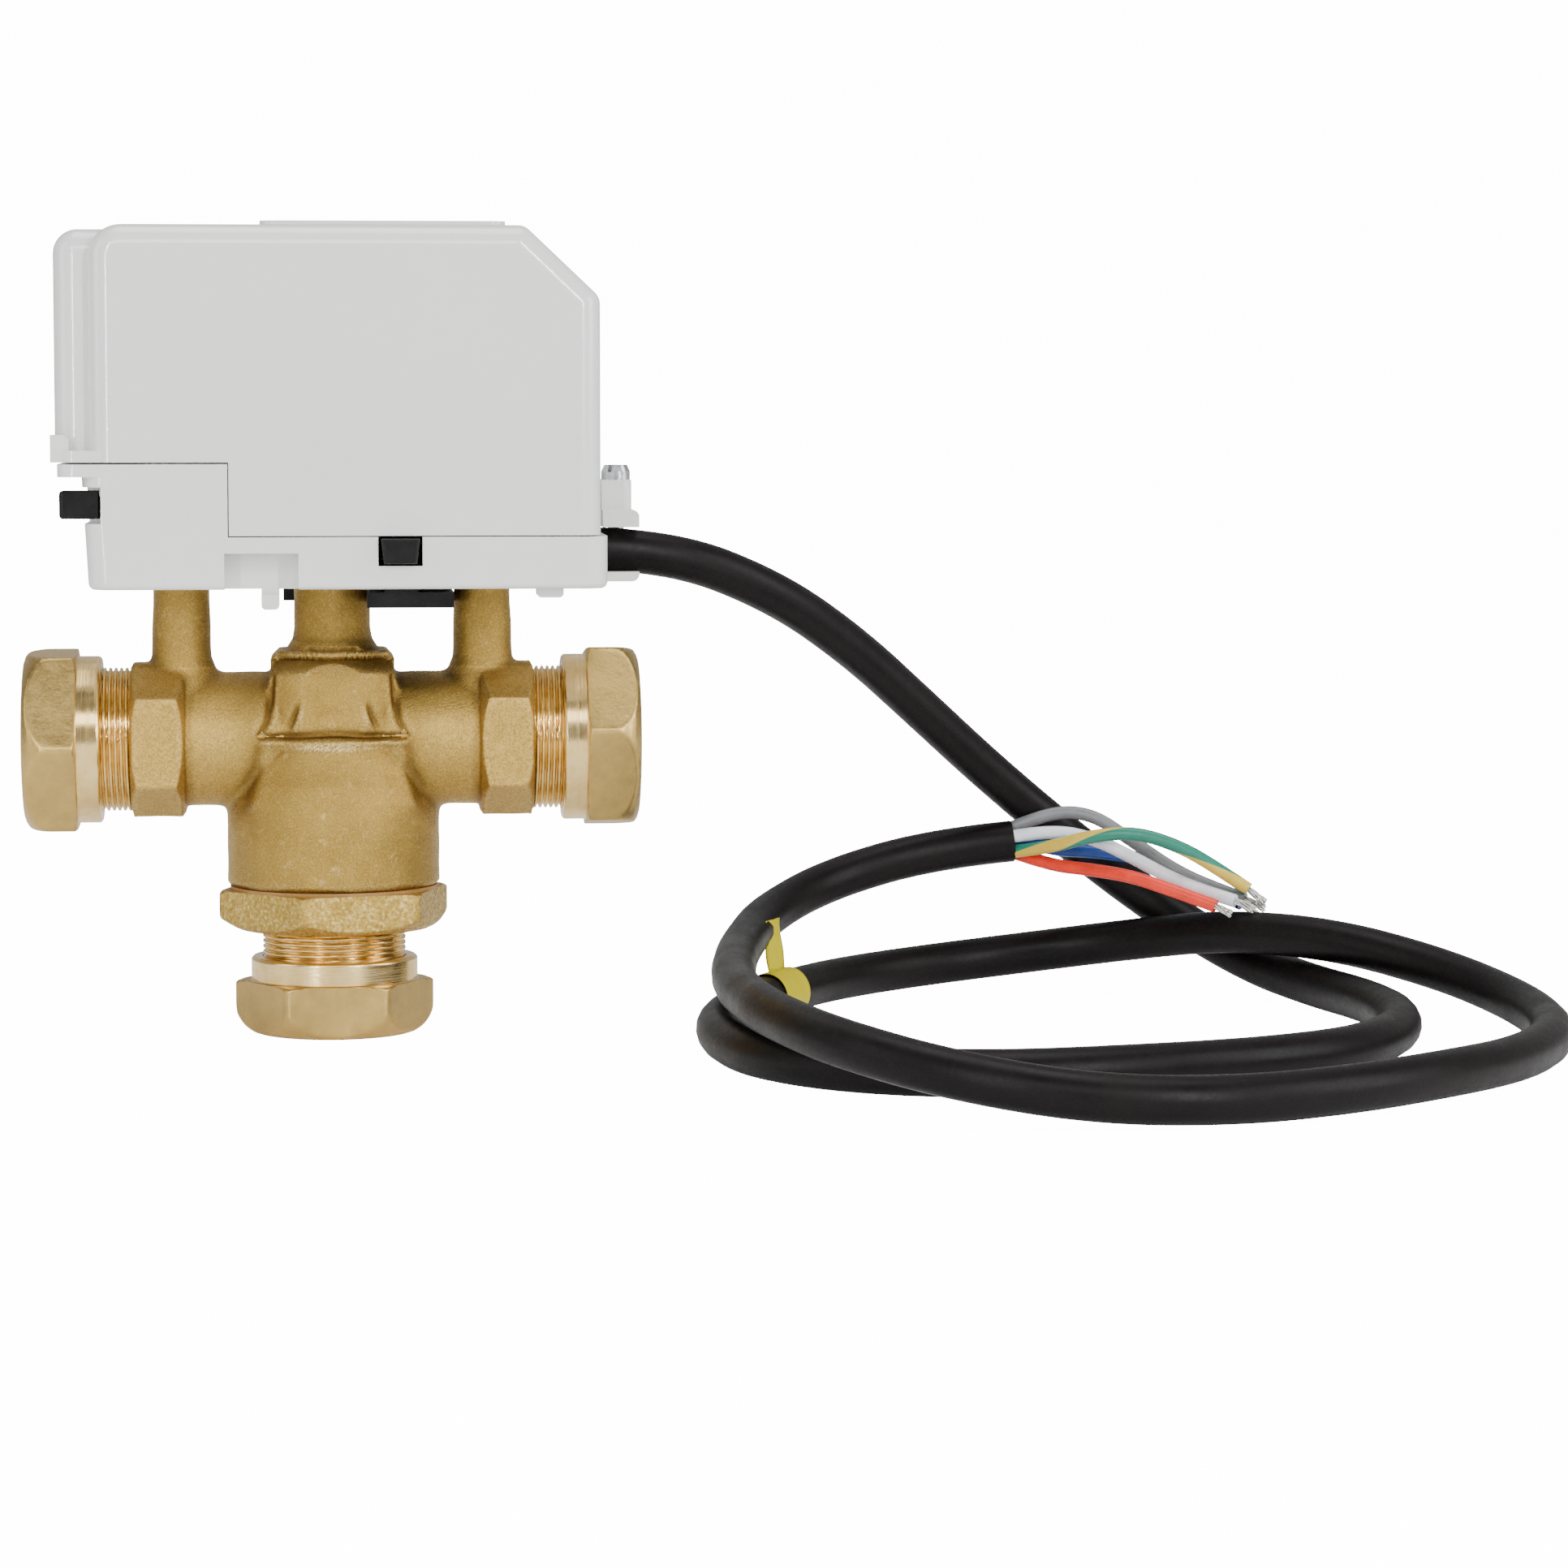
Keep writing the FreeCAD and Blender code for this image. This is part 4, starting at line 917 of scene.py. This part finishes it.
    # painted light and shade per vertex: red painted shade, green painted highlight, blue painted light on the barrels
    # and hexes beyond 15 mm from the middle
    painted_light_shade = np.zeros((n, 4))
    painted_light_shade[:, 0] = np.clip(dark, 0, 0.85)
    painted_light_shade[:, 1] = np.clip(light, 0, 1)
    painted_light_shade[:, 2] = 0.5 * np.clip((np.abs(x) - 15.0) / 5.0, 0, 1) * (z < 68)
    painted_light_shade[:, 3] = 1.0
    la = me.color_attributes.new("painted_light_shade", "FLOAT_COLOR", "POINT")
    la.data.foreach_set("color", painted_light_shade.ravel())
    bm = bmesh.new()
    bm.from_mesh(me)
    for sx in (-1, 1):
        geom = list(bm.verts) + list(bm.edges) + list(bm.faces)
        bmesh.ops.bisect_plane(bm, geom=geom, dist=1e-9, plane_co=(sx * 0.03685, 0, 0), plane_no=(sx, 0, 0), clear_outer=True)
        cut = [e for e in bm.edges if e.is_boundary and all(abs(v.co.x - sx * 0.03685) < 1e-6 for v in e.verts)]
        try:
            bmesh.ops.bridge_loops(bm, edges=cut)
        except Exception as err:
            print("bridge", err)
    bmesh.ops.recalc_face_normals(bm, faces=bm.faces)
    bm.to_mesh(me)
    bm.free()
    return ob


def ring_mesh(name, rows, n_phi, frame_fn, mats, close=True, sharp=None):
    """rows: list of (s, radius or function of the angle, material index); each row is one ring, in mm.
    frame_fn(s, r, phi) gives the point in mm. The first and last row are joined when close is set."""
    bm = bmesh.new()
    phis = np.linspace(0, 2 * math.pi, n_phi, endpoint=False)
    rings = []
    for s, r, mi in rows:
        rr = r(phis) if callable(r) else np.full(n_phi, r)
        rings.append([bm.verts.new([v / 1000.0 for v in frame_fn(s, rr[k], phis[k])]) for k in range(n_phi)])
    m = len(rings)
    for i in range(m if close else m - 1):
        j = (i + 1) % m
        for k in range(n_phi):
            k2 = (k + 1) % n_phi
            f = bm.faces.new((rings[i][k], rings[i][k2], rings[j][k2], rings[j][k]))
            f.smooth = True
            f.material_index = rows[i][2]
    bmesh.ops.recalc_face_normals(bm, faces=bm.faces)
    me = bpy.data.meshes.new(name)
    bm.to_mesh(me)
    bm.free()
    for mt in mats:
        me.materials.append(mt)
    ob = bpy.data.objects.new(name, me)
    coll.objects.link(ob)
    try:
        me.set_sharp_from_angle(angle=math.radians(40))
    except Exception:
        pass
    return ob


def hex_corner(node, plane, r_min):
    """Angle of a hexagon's corner, from the CAD node's own outermost points."""
    me = frame["nodes"][node].data
    co = np.empty(len(me.vertices) * 3)
    me.vertices.foreach_get("co", co)
    co = co.reshape(-1, 3) * 1000.0
    if plane == "yz":
        u, v = co[:, 1], co[:, 2] - 54.5
    else:
        u, v = co[:, 0], co[:, 1]
    r = np.hypot(u, v)
    an = np.arctan2(v, u)[r > r_min]
    return math.atan2(np.sin(6 * an).mean(), np.cos(6 * an).mean()) / 6.0


def soft_hex(af, corner, p=70.0):
    flats = [corner + math.radians(30 + 60 * k) for k in range(3)]

    def f(phi):
        acc = sum(np.abs(np.cos(phi - a)) ** p for a in flats)
        return af / 2.0 / acc ** (1.0 / p)
    return f


def smin(a, b, k):
    h = np.clip(0.5 + 0.5 * (b - a) / k, 0.0, 1.0)
    return b * (1 - h) + a * h - k * h * (1 - h)


def port_frame(n):
    if n == "ab":
        return lambda s, r, phi: (r * math.cos(phi), r * math.sin(phi), s)
    sx = -1.0 if n == "a" else 1.0
    return lambda s, r, phi: (sx * (56.4 - s), r * math.cos(phi), 54.5 + r * math.sin(phi))


body = dense_body()
me = body.data
me.materials.clear()
me.materials.append(M["cast"])
me.materials.append(M["nut"])
cen = np.empty(len(me.polygons) * 3)
me.polygons.foreach_get("center", cen)
cen = cen.reshape(-1, 3) * 1000.0
ax = np.abs(cen[:, 0])
rr = np.hypot(cen[:, 1], cen[:, 2] - 54.5)
idx = np.zeros(len(me.polygons), dtype=np.int32)
idx[(rr < 11.7) & (ax > 9.0)] = 1
me.polygons.foreach_set("material_index", idx)
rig.ride(body, "valve")
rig.replaces(body, "valve_body")
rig.slot(body, "cast_brass")


def thread_rows(s0, s1, crest, root, pitch, mi, lead_in):
    """Rings along a real helical thread; lead_in is the end that is chamfered."""
    rows = []
    step = pitch / 8.0
    n = int(round((s1 - s0) / step))
    for i in range(n + 1):
        q = s0 + (s1 - s0) * i / n
        d = abs(q - lead_in)

        def f(phi, q=q, d=d):
            t = np.mod(q / pitch - phi / (2 * math.pi), 1.0)
            h = np.clip(1.55 * (1 - np.abs(2 * t - 1)) - 0.12, 0.0, 1.0)
            h = h * h * (3 - 2 * h)
            top = crest - max(0.0, 0.9 - d) * 0.7
            return np.minimum(root + (crest - root) * h, top)
        rows.append((q, f, mi))
    return rows


for n in ("a", "b", "ab"):
    node = "compression_nut_" + n
    fr_n = port_frame(n)
    corner = hex_corner(node, "xy" if n == "ab" else "yz", 18.3)
    hx = soft_hex(32.0, corner)
    env_s = [0.0, 0.08, 0.35, 0.8, 1.3, 2.0, 2.8, 3.6, 4.6, 6.0, 9.1, 9.4, 9.65, 9.8]
    env_r = [13.5, 14.5, 15.3, 16.0, 16.6, 17.2, 17.72, 18.1, 18.42, 18.7, 18.7, 18.3, 17.8, 17.1]
    rows = [(0.0, 11.1, 0), (0.0, 12.4, 0)]
    ss = sorted(set(env_s + list(np.arange(0.2, 9.8, 0.2))))
    for q in ss:
        e = float(np.interp(q, env_s, env_r))
        rows.append((q, (lambda phi, e=e: smin(hx(phi), np.full_like(phi, e), 0.35)), 0))
    rows += [(9.8, 15.9, 0), (9.85, 15.5, 1), (10.0, 15.35, 1)]
    rows += [(q, 15.35 - 0.012 * math.sin(q * 9.0), 1) for q in np.arange(10.3, 13.7, 0.3)]
    rows += [(13.75, 15.33, 1), (14.0, 15.15, 1), (14.2, 14.9, 1), (14.2, 13.3, 1), (5.0, 13.3, 1), (2.6, 11.1, 1)]
    ob = ring_mesh("nut_" + n, rows, 288, fr_n, [M["nut"], M["tz"] if n == "ab" else M["tx"]])
    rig.ride(ob, "nut_" + n)
    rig.replaces(ob, node)
    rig.slot(ob, "turned_brass")

for n in ("a", "b"):
    fr_n = port_frame(n)
    rows = [(20.0, 11.1, 0)] + [(20.0, 12.6, 0)]
    rows += list(reversed(thread_rows(8.9, 19.9, 13.2, 12.55, 1.0, 0, 8.9)))
    rows += [(8.9, 12.0, 0), (10.2, 11.1, 0)]
    ob = ring_mesh("thread_" + n, rows, 160, fr_n, [M["thread"]])
    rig.ride(ob, "valve")
    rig.slot(ob, "cast_brass")

# bottom connector: bore, spigot thread, hexagon collar and the plug that screws into the casting
corner = hex_corner("port_insert", "xy", 21.75)
hx = soft_hex(38.0, corner, 90.0)
ce_s = [19.5, 19.9, 20.6, 21.5, 22.4, 26.0, 26.4, 26.8]
ce_r = [17.7, 18.6, 19.8, 21.2, 22.0, 22.05, 21.7, 21.0]
rows = [(9.1, 12.0, 0)] + thread_rows(9.1, 19.3, 13.2, 12.55, 1.0, 0, 9.1) + [(19.4, 12.6, 1), (19.5, 15.5, 1)]
for q in sorted(set(ce_s + list(np.arange(19.7, 26.8, 0.2)))):
    e = float(np.interp(q, ce_s, ce_r))
    rows.append((q, (lambda phi, e=e: smin(hx(phi), np.full_like(phi, e), 0.3)), 1))
rows += [(26.8, 18.0, 1), (26.8, 17.5, 1), (36.0, 17.5, 1), (36.0, 13.9, 1), (31.5, 9.5, 1), (22.0, 9.5, 1), (22.0, 11.1, 1), (10.3, 11.1, 0)]
ins = ring_mesh("bottom_connector", rows, 288, port_frame("ab"), [M["thread_z"], M["rough"]])
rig.ride(ins, "valve")
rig.replaces(ins, "port_insert")
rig.slot(ins, "turned_brass")

# ------------------------------------------------------------------ materials on the other CAD nodes
node_mat = {
    "insert_seal": "seal", "stem_bush": "ptfe", "actuator_base": "grey", "actuator_cover": "grey", "mounting_screws": "zinc",
    "motor_plate": "zinc", "plate_pillars": "zinc", "pillar_screws": "zinc", "earth_screw": "zinc", "motor_gearbox": "motor",
    "motor_can": "motor", "motor_lugs": "motor", "motor_screws": "zinc", "return_spring": "zinc", "lever_pivot": "zinc",
    "microswitches": "black", "switch_screws": "zinc", "circuit_board": "board", "terminal_block": "black", "cable_clamp": "grey",
    "clamp_screw": "zinc", "valve_spindle": "stainless", "stem_o_rings": "rubber", "crank_arm": "tz", "closing_ball": "rubber",
    "drive_hub": "ptfe", "sector_gear": "tz", "retaining_clip": "zinc", "motor_pinion": "stainless", "manual_lever": "black",
    "release_latch": "black", "switch_plunger_1": "redp", "switch_plunger_2": "redp", "olive_a": "tx", "olive_b": "tx", "olive_ab": "tz",
}
for nm, o in frame["nodes"].items():
    mt = M[node_mat.get(nm, "zinc")]
    if len(o.material_slots) == 0:
        o.data.materials.append(mt)
    else:
        for s in o.material_slots:
            s.material = mt

for nm, wd in (("actuator_base", 0.00045), ("actuator_cover", 0.00045), ("cable_clamp", 0.0004), ("release_latch", 0.0003),
               ("manual_lever", 0.0003), ("clamp_screw", 0.00015)):
    o = frame["nodes"][nm]
    bv = o.modifiers.new("edge", "BEVEL")
    bv.width = wd
    bv.segments = 3
    bv.limit_method = "ANGLE"
    bv.angle_limit = math.radians(38)
    bv.harden_normals = False

# ------------------------------------------------------------------ floor, backdrop and light
bm = bmesh.new()
prof = [(-3.0, 0.0), (2.2, 0.0)]
R = 1.6
for k in range(1, 17):
    t = k / 16 * math.pi / 2
    prof.append((2.2 + R * math.sin(t), R - R * math.cos(t)))
prof.append((2.2 + R, 6.0))
va = [bm.verts.new((-7.0, y, z - 0.00005)) for y, z in prof]
vb = [bm.verts.new((7.0, y, z - 0.00005)) for y, z in prof]
for i in range(len(prof) - 1):
    f = bm.faces.new((va[i], vb[i], vb[i + 1], va[i + 1]))
    f.smooth = True
me = bpy.data.meshes.new("floor")
bm.normal_update()
bm.to_mesh(me)
bm.free()
floor = bpy.data.objects.new("floor", me)
coll.objects.link(floor)
fm = Mat("floor_pale", (0.93, 0.93, 0.93), 0.7, spec=0.2)
fa = fm.noise(60.0, 3.0, 0.5)
fm.color(fm.ramp(fa, [(0.3, (0.925, 0.925, 0.925)), (0.7, (0.94, 0.94, 0.94))]))
# the studio's back-lit sweep: bright to the eye, a soft glow to the object
lp = fm.n.new("ShaderNodeLightPath")
em = fm.n.new("ShaderNodeEmission")
em.inputs["Color"].default_value = (1.0, 1.0, 1.0, 1.0)
glow = fm.math("ADD", fm.math("MULTIPLY", lp.outputs["Is Camera Ray"], 14.0), 0.12)
fm.l.new(glow, em.inputs["Strength"])
addn = fm.n.new("ShaderNodeAddShader")
outn = fm.n["Material Output"]
fm.l.new(fm.b.outputs["BSDF"], addn.inputs[0])
fm.l.new(em.outputs["Emission"], addn.inputs[1])
fm.l.new(addn.outputs["Shader"], outn.inputs["Surface"])
me.materials.append(fm.done())
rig.stage(floor)


def area(name, loc, target, size, size_y, power, color=(1, 1, 1)):
    li = bpy.data.lights.new(name, "AREA")
    li.shape = "RECTANGLE"
    li.size = size
    li.size_y = size_y
    li.energy = power
    li.color = color
    ob = bpy.data.objects.new(name, li)
    coll.objects.link(ob)
    ob.location = loc
    d = Vector(target) - Vector(loc)
    ob.rotation_euler = d.to_track_quat("-Z", "Y").to_euler()
    return ob


area("left_box", (-1.30, -0.35, 0.60), (0.0, 0, 0.08), 0.6, 1.1, 5.5)
area("right_box", (1.45, -0.45, 0.65), (0.05, 0, 0.07), 0.6, 1.1, 13.5)
area("left_strip", (-0.62, -1.25, 0.45), (0.0, 0, 0.10), 0.028, 0.9, 9.0)
area("right_strip", (0.80, -1.30, 0.60), (0.02, 0, 0.10), 0.028, 0.9, 14.0)
area("front_fill", (-0.15, -2.3, 1.5), (0.05, 0, 0.06), 1.3, 0.7, 14.0)
area("top", (0.1, 0.1, 1.5), (0.05, 0, 0.05), 1.2, 0.8, 13.0)
world = bpy.data.worlds.new("studio")
scene.world = world
world.use_nodes = True
world.node_tree.nodes["Background"].inputs["Color"].default_value = (1.0, 1.0, 1.0, 1.0)
world.node_tree.nodes["Background"].inputs["Strength"].default_value = 0.28

vis_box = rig.bounds()
with open("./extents.json", "w") as fh:
    json.dump({"cad": [[float(v) for v in cad_box[0]], [float(v) for v in cad_box[1]]],
               "visual": [[float(v) for v in vis_box[0]], [float(v) for v in vis_box[1]]]}, fh)
